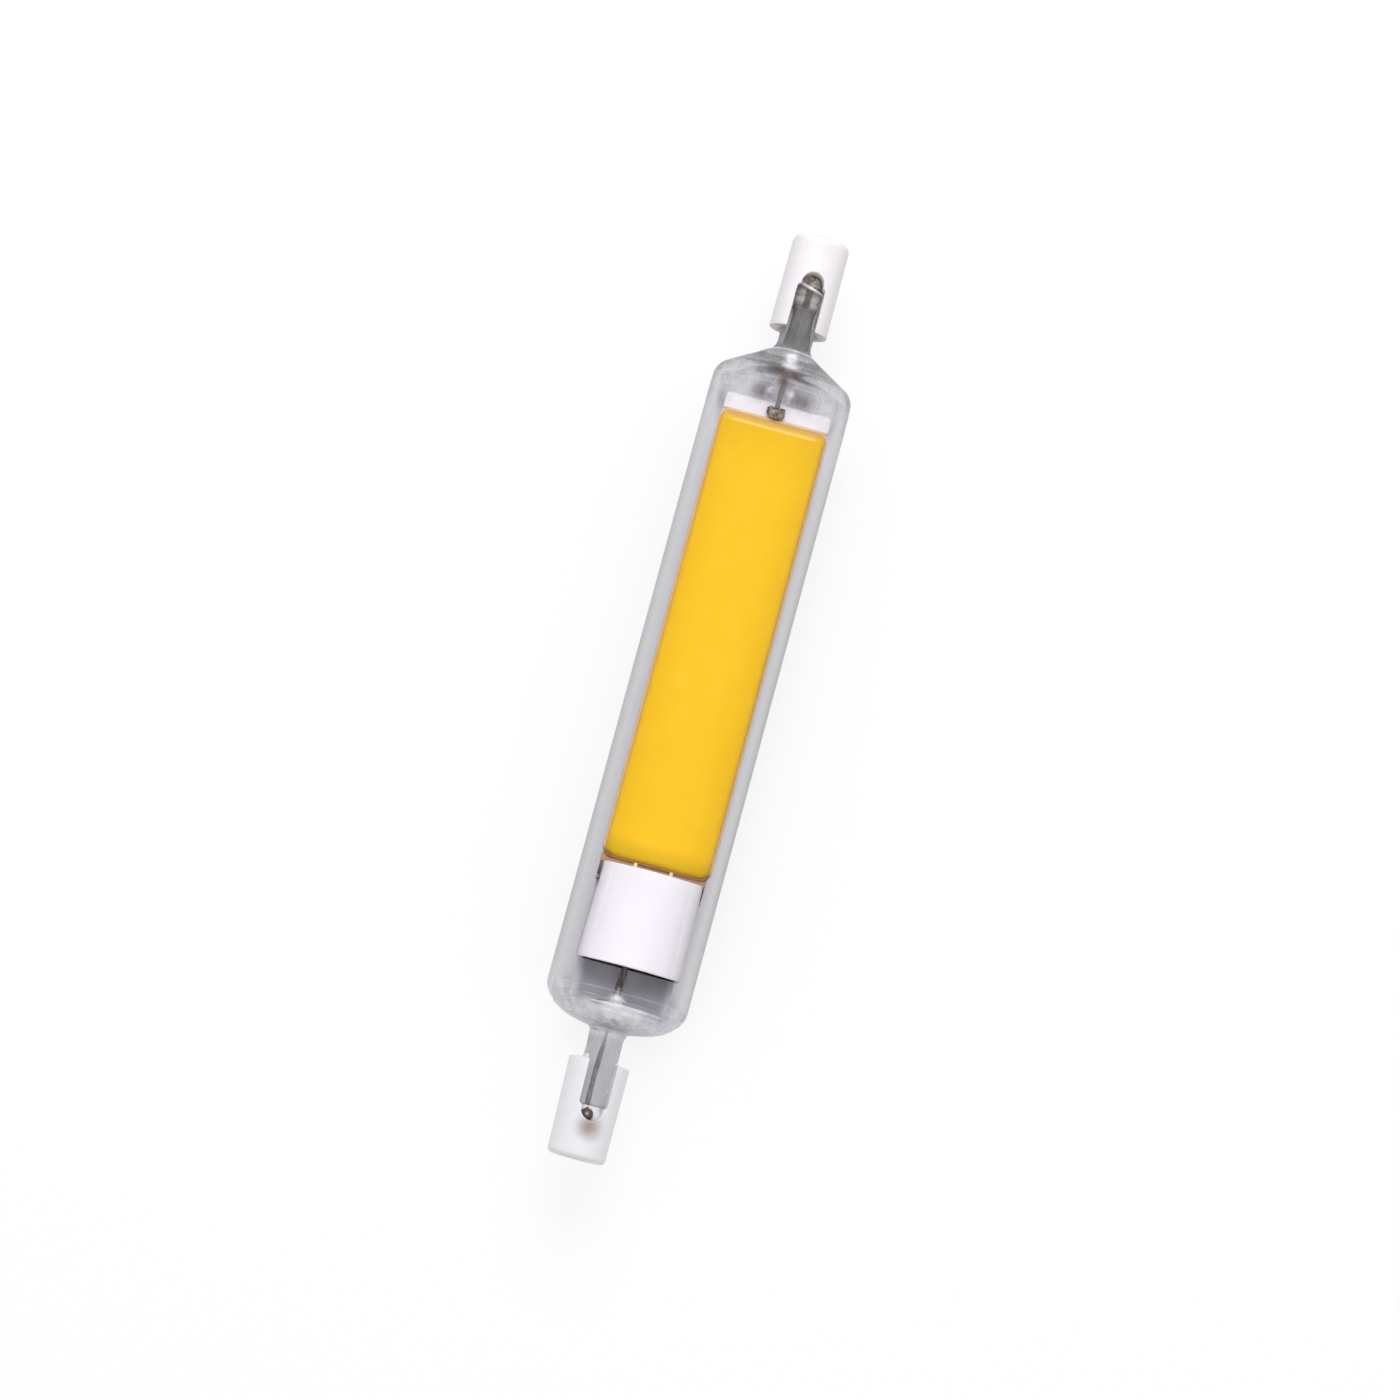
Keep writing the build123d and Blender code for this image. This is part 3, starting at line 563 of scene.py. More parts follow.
def phosphorGel():
    # Warm yellow gel: painted shade in olive towards the driver end, deeper at both sides and past a painted
    # highlight ridge at the light end, with dark specks in the pits.
    mat, tree, out = newMaterial("phosphorGel")
    shader = addNode(tree, "ShaderNodeBsdfPrincipled", IOR=1.42)
    shader.inputs["Specular IOR Level"].default_value = 0.14
    x, y, z = objectPlace(tree)
    grain = noiseOn(tree, 320, 5.0, 0.6)
    colour = ramped(tree, grain, [(0.3, linear(255, 200, 22)), (0.7, linear(255, 203, 30))])
    # painted shade: olive where the cover's end shades the slab's driver end
    colour = mixed(tree, spanned(tree, x, -0.0190, -0.0214), colour, linear(222, 178, 24))
    middle = sumOf(tree, "MULTIPLY_ADD", sumOf(tree, "SUBTRACT", leanStart * mm, x), -lean, shift * mm)
    side = sideOf(tree, y, middle)
    colour = mixed(tree, spanned(tree, side, 0.0062, 0.0067, 0.0, 0.6), colour, linear(238, 186, 90))
    # painted highlight: a pale line where the rounded light end catches the lamp
    ridgeHighlight = sumOf(tree, "MULTIPLY", spanned(tree, x, 0.0340, 0.0342), spanned(tree, x, 0.0345, 0.0343))
    ridgeHighlight = sumOf(tree, "MULTIPLY", ridgeHighlight, spanned(tree, side, 0.0058, 0.0050, 0.0, 0.7))
    colour = mixed(tree, ridgeHighlight, colour, linear(255, 226, 140))
    colour = mixed(tree, spanned(tree, x, 0.0344, 0.0349), colour, linear(226, 180, 96))
    speck = tree.nodes.new("ShaderNodeAttribute")
    speck.attribute_name = "speck"
    colour = mixed(tree, sumOf(tree, "MULTIPLY", speck.outputs["Fac"], 0.32), colour, linear(150, 110, 30))
    tree.links.new(colour, shader.inputs["Base Color"])
    tree.links.new(spanned(tree, grain, 0.3, 0.7, 0.2, 0.3), shader.inputs["Roughness"])
    bumpTo(tree, noiseOn(tree, 2600, 3.0, 0.5), 0.12, 0.00004, shader)
    tree.links.new(shader.outputs["BSDF"], out.inputs["Surface"])
    return mat


# Bead of resin round the slab
rimSpec = {"out": 0.12, "half": 0.24, "height": 0.36, "corner": 1.3}


def makeRim():
    # Rounded rectangle by angle: straight sides joined by quarter circles. The section is half an ellipse,
    # (half * cos(a), height * sin(a)).
    s = slabSpec
    m = rimSpec
    x0, x1 = s["driverEnd"] - m["out"], s["lightEnd"] + m["out"]
    h = s["width"] / 2 + m["out"]
    c = m["corner"]
    turn = np.linspace(0, math.pi / 2, 10)
    corners = [(x1 - c, h - c, 0.0), (x0 + c, h - c, 0.5), (x0 + c, c - h, 1.0), (x1 - c, c - h, 1.5)]
    arcs = [(cx, cy, turn + q * math.pi) for cx, cy, q in corners]
    path = np.concatenate([np.stack([cx + c * np.cos(a), cy + c * np.sin(a)], -1) for cx, cy, a in arcs])
    step = np.roll(path, -1, 0) - np.roll(path, 1, 0)
    step /= np.linalg.norm(step, axis=1, keepdims=True)
    out = np.stack([step[:, 1], -step[:, 0]], -1)
    a = np.linspace(0, math.pi, 12)[None, :]
    across = m["half"] * np.cos(a)
    high = m["height"] * np.sin(a)
    flat = path[:, None, :] + out[:, None, :] * across[..., None]
    rise = s["base"] + high + 0 * flat[..., 0]
    points = np.stack([flat[..., 0], flat[..., 1] + strayed(flat[..., 0]), rise], -1)
    grid = gridFaces(points, wrapU=True, wrapV=True)
    piece = makePiece("resinRim", [grid])
    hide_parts("phosphor_rim")
    return piece


# Cement between stem and cap, in two arcs beside the slot, with a sloping collar
cementSpec = {
    "lip": 46.9, "collar": 0.6, "collarRadius": 2.55,
    "depth": 3.6, "stem": 2.15, "bore": 2.26,
    "under": 0.02,          # the cement's inside lies this much under the stem's skin
    "half": 38.0,           # half of each arc, in degrees
    "taper": 0.28,          # share of each half that falls to the stem
}
# filling of the driver end's slot beyond the stem: place, half sizes, unevenness, phase, squareness
slotFill = ((-53.4, -0.35, 1.2), (1.05, 1.42, 1.15), 0.015, 1.0, 0.5)


def makeCement(end):
    # Turned arcs: the collar's radius is stem + (collar radius - stem) * t^2, with t from 0 at its thin edge
    # to 1 at the cap's lip. The ends of each arc fall to the stem with the square of the angle.
    c = cementSpec
    outward = 1 if end == "light" else -1
    out = np.linspace(0, 1, 12)
    lip = c["lip"]
    inside = c["stem"] - c["under"]
    x = np.concatenate([lip - c["collar"] * (1 - out), [lip + 0.05, lip + 1, lip + c["depth"]]])
    r = np.concatenate([c["stem"] + (c["collarRadius"] - c["stem"]) * out ** 2, [c["bore"]] * 3])
    x = np.concatenate([x, [lip + c["depth"], lip - c["collar"]]])[None, :]
    r = np.concatenate([r, [inside, inside]])[None, :]
    spread = np.linspace(-1, 1, 46)[:, None]
    fall = np.clip((spread ** 2 - 1 + c["taper"]) / c["taper"], 0, 1)
    grids = []
    for middle in (0, 180):
        a = np.radians(-capSpec[end]["lean"] + middle + spread * c["half"])
        rr = r - (r - inside) * fall ** 2
        points = np.stack([outward * x + 0 * a, rr * np.cos(a), rr * np.sin(a)], -1)
        grids.append(gridFaces(points, wrapV=True, closeStart=True, closeEnd=True, flip=outward < 0))
    if end == "driver":
        grids.append(blob(slotFill[0], slotFill[1], 30, 44, *slotFill[2:]))
    piece = makePiece(end + "Cement", grids)
    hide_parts("cap_cement_" + end + "_end")
    return piece


# Ceramic caps
capSpec = {
    "innerEnd": 46.9, "outerEnd": 59.0, "bore": 2.26, "boreEnd": 53.2, "recess": 1.9, "recessFloor": 57.0,
    "wide": 1.8, "narrow": 1.4, "shoulder": 52.5, "slotEnd": 54.2,
    "edge": 0.16,
    # radius at either end, rounding of the outer end, slot's lean in degrees, stray of the outer end along Y
    "light": {"radii": (3.66, 3.58), "round": 0.95, "lean": -4.0, "stray": 0.0},
    "driver": {"radii": (3.8, 3.62), "round": 0.6, "lean": -9.0, "stray": -0.2},
}


def slotStart(d):
    # Where the ceramic begins along X at distance d from the slot's middle: a round end on a narrow slot,
    # end - n + sqrt(n^2 - d^2) with n the narrow half width, whose shoulders are quarter circles.
    c = capSpec
    gap = c["wide"] - c["narrow"]
    tip = c["slotEnd"] - c["narrow"] + np.sqrt(np.maximum(c["narrow"] ** 2 - d ** 2, 0))
    side = c["shoulder"] - gap + np.sqrt(np.maximum(gap ** 2 - (np.abs(d) - c["narrow"]) ** 2, 0))
    return np.where(np.abs(d) < c["narrow"], tip, side)


def makeCap(end):
    # Section (place, radius) from the recess's middle over the outside to the bore's floor, carried round X.
    # Columns across the slot keep their distance d from its middle at every radius, angle = arcsin(d / r),
    # and the others share the rest of the turn evenly. Each column starts where the slot lets it.
    c = capSpec
    own = c[end]
    wide = c["wide"]
    e = c["edge"]
    narrow = c["narrow"]
    arch = c["slotEnd"] - narrow
    half = [(wide, c["innerEnd"])]
    half += [(d, float(slotStart(d))) for d in wide - (wide - narrow) * np.linspace(0, 1, 6)]
    quarter = np.linspace(0, math.pi / 2, 13)
    half += [(narrow * math.cos(q), float(arch + narrow * math.sin(q))) for q in quarter]
    slot = np.array(half + [(-d, s) for d, s in half[-2::-1]])
    even = np.linspace(0, 1, 30)[1:-1]
    even = np.concatenate([[0.02], even, [0.98]])
    blank = np.full(len(even), c["innerEnd"])
    start = np.concatenate([slot[:, 1], blank, slot[:, 1], blank])
    r0, r1 = own["radii"]

    def turnAt(r):
        across = np.arcsin(slot[:, 0] / max(r, wide + 0.05))
        first = across[-1] + (-math.pi - 2 * across[-1]) * even
        return np.concatenate([across, first, -math.pi + across, first - math.pi])

    def skin(x):
        return r0 + (r1 - r0) * (x - c["innerEnd"]) / (c["outerEnd"] - c["innerEnd"])

    k = own["round"]
    floor = c["recessFloor"]
    tip = c["outerEnd"]
    recess = c["recess"]
    rows = [(floor, 0.02), (floor, 1.0), (floor, recess - 0.05), (floor + 0.05, recess)]
    rows += [(tip - 0.2, recess), (tip - 0.06, recess + 0.06), (tip, recess + 0.2)]
    rows += [(tip - k + k * math.cos(q), r1 - k + k * math.sin(q)) for q in np.linspace(0, math.pi / 2, 12)]
    places = [(0 * start + x, r) for x, r in rows]
    for t in np.linspace(0, 1, 26)[1:]:
        x = tip - k + (start + e - tip + k) * t
        places.append((x, skin(x)))
    places.append((start + 0.29 * e, skin(start) - 0.29 * e))
    places.append((start, skin(start) - e))
    for r in (3.1, 2.7, c["bore"] + 0.06):
        places.append((start, r))
    places.append((start + 0.06, c["bore"]))
    columns = []
    for x, r in places:
        r = r + 0 * x
        a = turnAt(float(r.mean()))
        columns.append(np.stack([x, r * np.sin(a), r * np.cos(a)], -1))
    for r in (c["bore"], 1.9, 1.6, 1.3, 1.0, 0.7, 0.4, 0.02):
        a = turnAt(r)
        d = r * np.sin(a)
        x = np.maximum(c["boreEnd"], arch + np.sqrt(np.maximum(narrow ** 2 - d ** 2, 0)))
        columns.append(np.stack([x, d, r * np.cos(a)], -1))
    points = np.array(columns)
    lean = math.radians(own["lean"])
    y = points[..., 1] * math.cos(lean) + points[..., 2] * math.sin(lean)
    z = points[..., 2] * math.cos(lean) - points[..., 1] * math.sin(lean)
    outer = np.clip((np.hypot(y, z) - 2.3) / 1.2, 0, 1)
    x = points[..., 0]
    y = y + own["stray"] * outer * np.clip((x - c["innerEnd"]) / (tip - c["innerEnd"]), 0, 1)
    outward = 1 if end == "light" else -1
    points = np.stack([outward * x, y, z], -1)
    grid = gridFaces(points, wrapV=True, closeStart=True, closeEnd=True, flip=outward < 0)
    piece = makePiece(end + "Cap", [grid])
    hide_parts("ceramic_cap_" + end + "_end")
    return piece


def carried(stations, steps, sides, lumps):
    # Oval section (half width * cos(a), half height * sin(a)) carried along a path. stations are (x, y, z,
    # half width, half height) in mm. lumps swells the section by sines of the angle and of the place.
    rows = splineRows(stations, len(stations) * steps)
    path = rows[:, :3]
    along = np.gradient(path, axis=0)
    along /= np.linalg.norm(along, axis=1, keepdims=True)
    side = np.cross(np.array([0, 0, 1.0]), along)
    side /= np.linalg.norm(side, axis=1, keepdims=True)
    up = np.cross(along, side)
    a = np.linspace(0, 2 * math.pi, sides, endpoint=False)[None, :]
    t = np.linspace(0, 1, len(rows))[:, None]
    swell = 1 + lumps * (np.sin(3 * a + 14 * t) + 0.7 * np.sin(2 * a - 31 * t) + 0.5 * np.sin(57 * t)) / 2
    c = np.maximum(rows[:, 3:4], 0.01) * np.cos(a) * swell
    d = np.maximum(rows[:, 4:5], 0.01) * np.sin(a) * swell
    points = path[:, None, :] + side[:, None, :] * c[..., None] + up[:, None, :] * d[..., None]
    return gridFaces(points, wrapV=True, closeStart=True, closeEnd=True, flip=True)


# Wires, each from the weld to the solder: (x, y, z, half width, half height)
wireSpec = {
    "light": [
        (53.3, 0.0, 0.1, 0.28, 0.28), (52.7, 0.05, 0.3, 0.7, 0.4), (52.2, 0.1, 0.4, 1.2, 0.5),
        (51.6, -0.1, 0.4, 1.25, 0.42), (51.0, 0.0, 0.35, 1.1, 0.42), (50.3, -0.15, 0.25, 1.1, 0.34),
        (49.8, -0.12, 0.2, 1.05, 0.26), (49.2, -0.12, 0.15, 1.0, 0.2), (47.0, -0.12, 0.1, 1.04, 0.18),
        (45.4, -0.15, 0, 1.2, 0.18), (44.6, -0.05, 0, 1.0, 0.15), (43.7, 0, 0, 0.2, 0.14),
        (42.0, 0.0, 0, 0.1, 0.1), (40.4, 0.02, 0, 0.14, 0.14), (39.2, 0.0, 0, 0.24, 0.22),
        (37.6, 0.03, 0, 0.3, 0.3), (36.9, 0, 0, 0.3, 0.3), (35.72, 0, 0, 0.28, 0.28),
    ],
    "driver": [
        (-53.5, -0.12, 2.5, 0.26, 0.26), (-52.9, 0.0, 2.2, 0.28, 0.26), (-52.2, 0.1, 1.0, 0.26, 0.26),
        (-51.0, 0.16, 0.5, 0.26, 0.24), (-49.8, 0.16, 0.3, 0.24, 0.22), (-48, 0.16, 0.1, 0.22, 0.2),
        (-45.5, 0.12, 0, 0.2, 0.2), (-43.5, 0.04, 0, 0.12, 0.12), (-41.5, 0, 0, 0.12, 0.12),
        (-39.6, 0, 0, 0.24, 0.24), (-38.5, 0.08, 0.0, 0.4, 0.3), (-37.9, 0.14, -0.05, 0.42, 0.3),
        (-37.2, 0.16, -0.45, 0.46, 0.32), (-36.6, 0.12, -0.85, 0.38, 0.28), (-36.0, 0.08, -1.0, 0.38, 0.28),
        (-34.6, 0, -1.0, 0.29, 0.29), (-33.3, 0, -1.0, 0.28, 0.28),
    ],
}


def makeWires():
    # The light end's wire is flattened where the stem grips it. The driver end's steps down to its board.
    found = {}
    for end, stations in wireSpec.items():
        piece = makePiece(end + "Wire", [carried(stations, 9, 28, 0.12)])
        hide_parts("lead_wire_" + end + "_end")
        found[end] = piece
    return found


def blob(middle, half, rings, sides, lumps, phase, square):
    # Sphere by latitude v and longitude u, (sin(v), cos(v)cos(u), cos(v)sin(u)) times the half sizes, swollen
    # by sines of both angles. Each sine and cosine is raised to the power square: less than 1 makes it boxy.
    v = np.linspace(-math.pi / 2, math.pi / 2, rings)[1:-1, None]
    u = np.linspace(0, 2 * math.pi, sides, endpoint=False)[None, :]
    wave = np.sin(3 * u + 2 * v + phase) + 0.8 * np.sin(2 * u - 4 * v + 2 * phase)
    swell = 1 + lumps * (wave * np.cos(v) + 0.5 * np.sin(5 * v + phase))

    def boxed(value):
        return np.sign(value) * np.abs(value) ** square

    x = middle[0] + half[0] * boxed(np.sin(v)) * swell + 0 * u
    y = middle[1] + half[1] * boxed(np.cos(v)) * boxed(np.cos(u)) * swell
    z = middle[2] + half[2] * boxed(np.cos(v)) * boxed(np.sin(u)) * swell
    return gridFaces(np.stack([x, y, z], -1), wrapV=True, closeStart=True, closeEnd=True, flip=True)


# Welds and the solder on the strip. Each lump is (place, half sizes, unevenness, phase, squareness).
lumpSpec = {
    "lightWeld": {
        "node": "wire_weld_light_end", "slot": "dark_metal",
        "lumps": [
            ((53.3, -0.2, 0.9), (0.95, 1.42, 0.85), 0.03, 0.4, 0.7),
            ((53.65, 0.3, 1.75), (0.38, 0.6, 0.3), 0.1, 1.7, 1.0),
            ((53.5, -0.7, 1.7), (0.46, 0.5, 0.3), 0.12, 3.1, 0.9),
            ((52.8, 0.15, 1.2), (0.3, 0.8, 0.25), 0.14, 2.2, 0.8),
        ],
    },
    "driverWeld": {
        "node": "wire_weld_driver_end", "slot": "dark_metal",
        "lumps": [
            ((-53.5, -0.13, 2.55), (0.68, 0.74, 0.5), 0.03, 0.9, 0.72),
            ((-53.5, -0.13, 3.0), (0.28, 0.3, 0.12), 0.08, 2.0, 0.8),
        ],
    },
    "stripSolder": {
        "node": "solder_light_end", "slot": "solder",
        "lumps": [
            ((36.3, 0.0, 0.1), (0.78, 1.12, 0.62), 0.08, 0.2, 1.0),
            ((36.75, 0.75, 0.05), (0.42, 0.4, 0.42), 0.1, 1.1, 1.0),
            ((36.7, -0.72, 0.02), (0.45, 0.42, 0.4), 0.12, 2.7, 1.0),
            ((35.95, -0.1, 0.25), (0.42, 0.5, 0.45), 0.1, 4.0, 1.0),
        ],
    },
}


def makeLumps():
    # Each piece is a few blobs that run into one another.
    found = {}
    for name, spec in lumpSpec.items():
        grids = [blob(middle, half, 34, 44, *rest) for middle, half, *rest in spec["lumps"]]
        piece = makePiece(name, grids)
        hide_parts(spec["node"])
        found[name] = piece
    return found


# Cover over the driver
coverSpec = {
    "start": -22.9, "end": -35.0,
    "halfStart": 6.175, "halfEnd": 6.475,
    "base": -1.32,
    "sideTop": 1.0,
    "crown": 3.2,
    "shoulder": 1.35,
    "shoulderRise": 0.62,   # the shoulder's height as a share of its width
    "wall": 0.55,
    "rim": 0.16,            # rounding of the edges at both ends
}


def coverSection(x, inset):
    # Section across the cover: upright sides, a shoulder that is a quarter of an ellipse, and a low arch
    # whose height falls with the square of Y. inset moves the whole section in.
    s = coverSpec
    f = (s["start"] - x) / (s["start"] - s["end"])
    h = s["halfStart"] + (s["halfEnd"] - s["halfStart"]) * f - inset
    side = s["sideTop"] - 0.4 * inset
    crown = s["crown"] - inset
    k = s["shoulder"]
    t = np.linspace(0, math.pi / 2, 14)
    rise = s["shoulderRise"] * k
    sideY = h - k * (1 - np.cos(t))
    sideZ = side + rise * np.sin(t)
    rest = np.linspace(h - k, 0, 24)[1:]
    archZ = side + rise + (crown - side - rise) * (1 - (rest / (h - k)) ** 2)
    y = np.concatenate([[h, h, h], sideY[1:], rest])
    z = np.concatenate([[s["base"], 0.4 * side, side], sideZ[1:], archZ])
    return np.concatenate([y, -y[-2::-1]]), np.concatenate([z, z[-2::-1]])


def makeCover():
    # Outer and inner skin of one shell, as sections (place, inset) carried along X from the middle of the
    # closed light end, over the outside, round the open end and back inside.
    s = coverSpec
    start = s["start"]
    end = s["end"]
    wall = s["wall"]
    r = s["rim"]
    q = np.linspace(0, math.pi / 2, 7)
    rows = [(start, 0.9), (start, 0.45), (start, r)]
    rows += [(start - r + r * math.cos(v), r - r * math.sin(v)) for v in q[1:]]
    rows += [(x, 0.0) for x in np.linspace(start - r, end + r, 24)[1:-1]]
    rows += [(end + r - r * math.sin(v), r - r * math.cos(v)) for v in q]
    rows += [(end, wall - 0.12), (end + 0.12, wall)]
    rows += [(x, wall) for x in np.linspace(end + 0.4, start - wall - 0.2, 16)]
    rows += [(start - wall, wall + 0.2), (start - wall, 0.9)]
    points = []
    for x, inset in rows:
        y, z = coverSection(x, inset)
        points.append(np.stack([np.full(len(y), x), y + strayed(x), z], -1))
    grid = gridFaces(np.array(points), wrapV=True, closeStart=True, closeEnd=True)
    piece = makePiece("driverLid", [grid])
    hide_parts("driver_cover")
    return piece


# What the tints below change, in metres and screen colours
tintSpec = {
    "buff": (186, 172, 168),
    "buffStart": (0.04705, 0.04695),
    "capSideShade": (230, 227, 231),
    "capSideSpan": (0.0020, 0.0036, 0.0, 0.7),
    "driverCap": (238, 237, 241),
    "stain": (160, 149, 141),
    "stainMiddle": (-0.0550, -0.0008),
    "stainSpan": (0.0027, 0.0003),
    "weldMiddle": (-0.0535, -0.00013),
    "weldSpan": (0.00014, 0.00032),
    "weldPale": (160, 152, 146),
    "weldDark": (78, 68, 62),
    "gripped": ((92, 88, 86), (142, 139, 138)),
    "grippedStart": (0.0506, 0.0498),
    "crease": (88, 75, 68),
    "creaseMiddle": -0.0001,
    "creaseSpan": (0.0006, 0.0004),
    "resinEndShade": (156, 116, 66),
    "resinSpan": (-0.0208, -0.0216),
    "gapShade": (190, 150, 112),
    "gapShadeSpans": ((-0.0216, -0.0219), (-0.0231, -0.0228)),
    "beige": (206, 176, 150),
    "beigeSpans": ((0.0352, 0.0354), (0.0358, 0.0355)),
    "boardEdgeLight": (206, 206, 212),
    "boardMiddle": -0.00035,
    "boardSideSpan": (0.0050, 0.0062),
    "coverSideShade": (218, 214, 218),
    "coverSideSpan": (0.0040, 0.0064, 0.0, 0.7),
}


def between(tree, x, spans):
    # 1 between two places and 0 beyond them, eased over each span.
    return sumOf(tree, "MULTIPLY", spanned(tree, x, *spans[0]), spanned(tree, x, *spans[1]))


def capTint(tree, colour):
    # Buff at the inner end, painted shade down the sides and on the driver end's cap, and a soft brown stain
    # beyond the driver end's weld.
    s = tintSpec
    x, y, z = objectPlace(tree)
    far = sumOf(tree, "ABSOLUTE", x)
    colour = mixed(tree, spanned(tree, far, *s["buffStart"]), colour, linear(*s["buff"]))
    side = sideOf(tree, y, 0.0)
    # painted shade down the cap's sides
    colour = mixed(tree, spanned(tree, side, *s["capSideSpan"]), colour, linear(*s["capSideShade"]))
    # painted shade: the driver end's cap a little greyer
    colour = mixed(tree, spanned(tree, x, -0.03, -0.05), colour, linear(*s["driverCap"]))
    wander = sumOf(tree, "MULTIPLY_ADD", noiseOn(tree, 900, 3.0), 0.0006, gapTo(tree, x, y, s["stainMiddle"]))
    stain = sumOf(tree, "MULTIPLY", spanned(tree, wander, *s["stainSpan"]), spanned(tree, z, 0.001, 0.003))
    return mixed(tree, stain, colour, linear(*s["stain"]))


def weldTint(tree, colour):
    # The driver end's weld is a dark ring with a paler middle.
    s = tintSpec
    x, y, z = objectPlace(tree)
    ring = spanned(tree, gapTo(tree, x, y, s["weldMiddle"]), *s["weldSpan"])
    dark = mixed(tree, ring, linear(*s["weldPale"]), linear(*s["weldDark"]))
    return mixed(tree, spanned(tree, x, -0.03, -0.04), colour, dark)


def foilTint(tree, colour):
    # Even dark grey where the stem grips it, and a dark crease down the middle of its bent end.
    s = tintSpec
    x, y, z = objectPlace(tree)
    streaks = noiseOn(tree, 2600, 3.0, 0.6, (0.12, 1, 1))
    dark, light = s["gripped"]
    grey = ramped(tree, streaks, [(0.35, linear(*dark)), (0.65, linear(*light))])
    side = sumOf(tree, "MULTIPLY_ADD", noiseOn(tree, 1500, 2.0), 0.0003, sideOf(tree, y, s["creaseMiddle"]))
    colour = mixed(tree, spanned(tree, side, *s["creaseSpan"]), colour, linear(*s["crease"]))
    return mixed(tree, spanned(tree, x, *s["grippedStart"]), colour, grey)


def resinTint(tree, colour):
    # Painted shade: brown at the driver end, where the cover's end shades the rim.
    s = tintSpec
    x = objectPlace(tree)[0]
    return mixed(tree, spanned(tree, x, *s["resinSpan"]), colour, linear(*s["resinEndShade"]))


def coatTint(tree, colour):
    # Painted shadow: brown on the white between the slab and the cover. Beige just past the slab's other end.
    s = tintSpec
    x = objectPlace(tree)[0]
    # painted shadow between the slab and the cover
    colour = mixed(tree, between(tree, x, s["gapShadeSpans"]), colour, linear(*s["gapShade"]))
    return mixed(tree, between(tree, x, s["beigeSpans"]), colour, linear(*s["beige"]))


def boardTint(tree, colour):
    # Painted light: the bare board pales towards both edges, softening the dark zone's sides.
    s = tintSpec
    side = sideOf(tree, objectPlace(tree)[1], s["boardMiddle"])
    return mixed(tree, spanned(tree, side, *s["boardSideSpan"]), colour, linear(*s["boardEdgeLight"]))


def coverTint(tree, colour):
    # Painted shade: greyer down both sides, where the arched top turns away from the light.
    s = tintSpec
    side = sideOf(tree, objectPlace(tree)[1], shift * mm)
    return mixed(tree, spanned(tree, side, *s["coverSideSpan"]), colour, linear(*s["coverSideShade"]))


def finish(dark, light, scale, roughness, bump, **more):
    # Two screen colours mixed by noise of that many cycles a metre, two roughnesses and the bump's strength.
    return dict(dark=dark, light=light, scale=scale, roughness=roughness, bump=bump, **more)


finishes = {
    "ceramic": finish((244, 240, 244), (249, 245, 249), 300, (0.3, 0.42), 0.05,
                      bumpScale=4200, tint=capTint),
    "cement": finish((150, 148, 150), (184, 181, 182), 1600, (0.5, 0.8), 0.3, bumpScale=7000),
    "paleCement": finish((214, 212, 214), (236, 234, 236), 1600, (0.5, 0.8), 0.2, bumpScale=7000),
    "strap": finish((66, 56, 52), (110, 98, 92), 1500, (0.35, 0.5), 0.2, metallic=0.4),
    "contact": finish((160, 154, 148), (196, 190, 182), 2200, (0.25, 0.45), 0.2, metallic=1.0),
    "darkMetal": finish((104, 92, 86), (198, 186, 178), 1300, (0.45, 0.7), 0.6,
                        metallic=0.15, bumpScale=4000, tint=weldTint),
    "foil": finish((150, 138, 132), (244, 236, 230), 620, (0.4, 0.6), 0.5,
                   metallic=0.1, bumpScale=3000, detail=3.0, tint=foilTint),
    "wire": finish((78, 68, 66), (136, 124, 120), 1500, (0.35, 0.6), 0.4, metallic=0.6),
    "plate": finish((176, 177, 182), (204, 205, 208), 900, (0.3, 0.45), 0.15,
                    metallic=1.0, stretch=(0.08, 1, 1)),
    "whiteCoat": finish((250, 246, 250), (254, 251, 254), 500, (0.35, 0.5), 0.05, tint=coatTint),
    "chip": finish((214, 206, 150), (232, 226, 180), 3000, (0.2, 0.3), 0.1),
    "solder": finish((96, 84, 74), (184, 170, 156), 1400, (0.18, 0.4), 0.4, metallic=0.85, bumpScale=3000),
    "laminate": finish((142, 141, 146), (162, 161, 167), 260, (0.45, 0.6), 0.12,
                       bumpScale=4000, tint=boardTint),
    "cover": finish((250, 245, 248), (254, 249, 252), 260, (0.35, 0.5), 0.06,
                    bumpScale=3600, tint=coverTint),
    "package": finish((20, 20, 21), (34, 34, 36), 3000, (0.5, 0.7), 0.3),
    "resistor": finish((120, 146, 134), (150, 174, 160), 1500, (0.3, 0.45), 0.15),
    "capacitor": finish((146, 118, 84), (176, 146, 106), 1500, (0.3, 0.5), 0.15),
    "resin": finish((236, 200, 146), (236, 200, 146), 900, (0.15, 0.25), 0.1, tint=resinTint),
    "pin": finish((240, 214, 140), (252, 234, 170), 2000, (0.3, 0.4), 0.1),
}

# Floor, surroundings and lamp
studioSpec = {
    "floorSize": 6.0,
    "floorShare": 0.22,     # share of the floor's own shading that the view sees, the rest is plain white
    "floorTone": 0.8,       # what the floor gives back to the lamp's pieces
    "floorSeen": 0.99,      # and to the view
    "glassShare": 0.15,     # share of the white backdrop that glass shows
    "horizon": 0.24,        # strength of the sky that lights the pieces, low and high
    "zenith": 0.95,
    "lampPlace": (0.62, 0.08, 0.72),
    "lampSize": 0.6,
    "lampPower": 4.0,
}


def plainView(tree):
    # 1 to the camera and in plain reflections, a share of it through glass, and 0 to the light on the pieces.
    path = tree.nodes.new("ShaderNodeLightPath")
    first = sumOf(tree, "LESS_THAN", path.outputs["Diffuse Depth"], 0.5)
    through = path.outputs["Is Transmission Ray"]
    gloss = sumOf(tree, "MULTIPLY", path.outputs["Is Glossy Ray"], sumOf(tree, "SUBTRACT", 1.0, through))
    shown = sumOf(tree, "MAXIMUM", gloss, sumOf(tree, "MULTIPLY", through, studioSpec["glassShare"]))
    return sumOf(tree, "MAXIMUM", path.outputs["Is Camera Ray"], sumOf(tree, "MULTIPLY", shown, first))


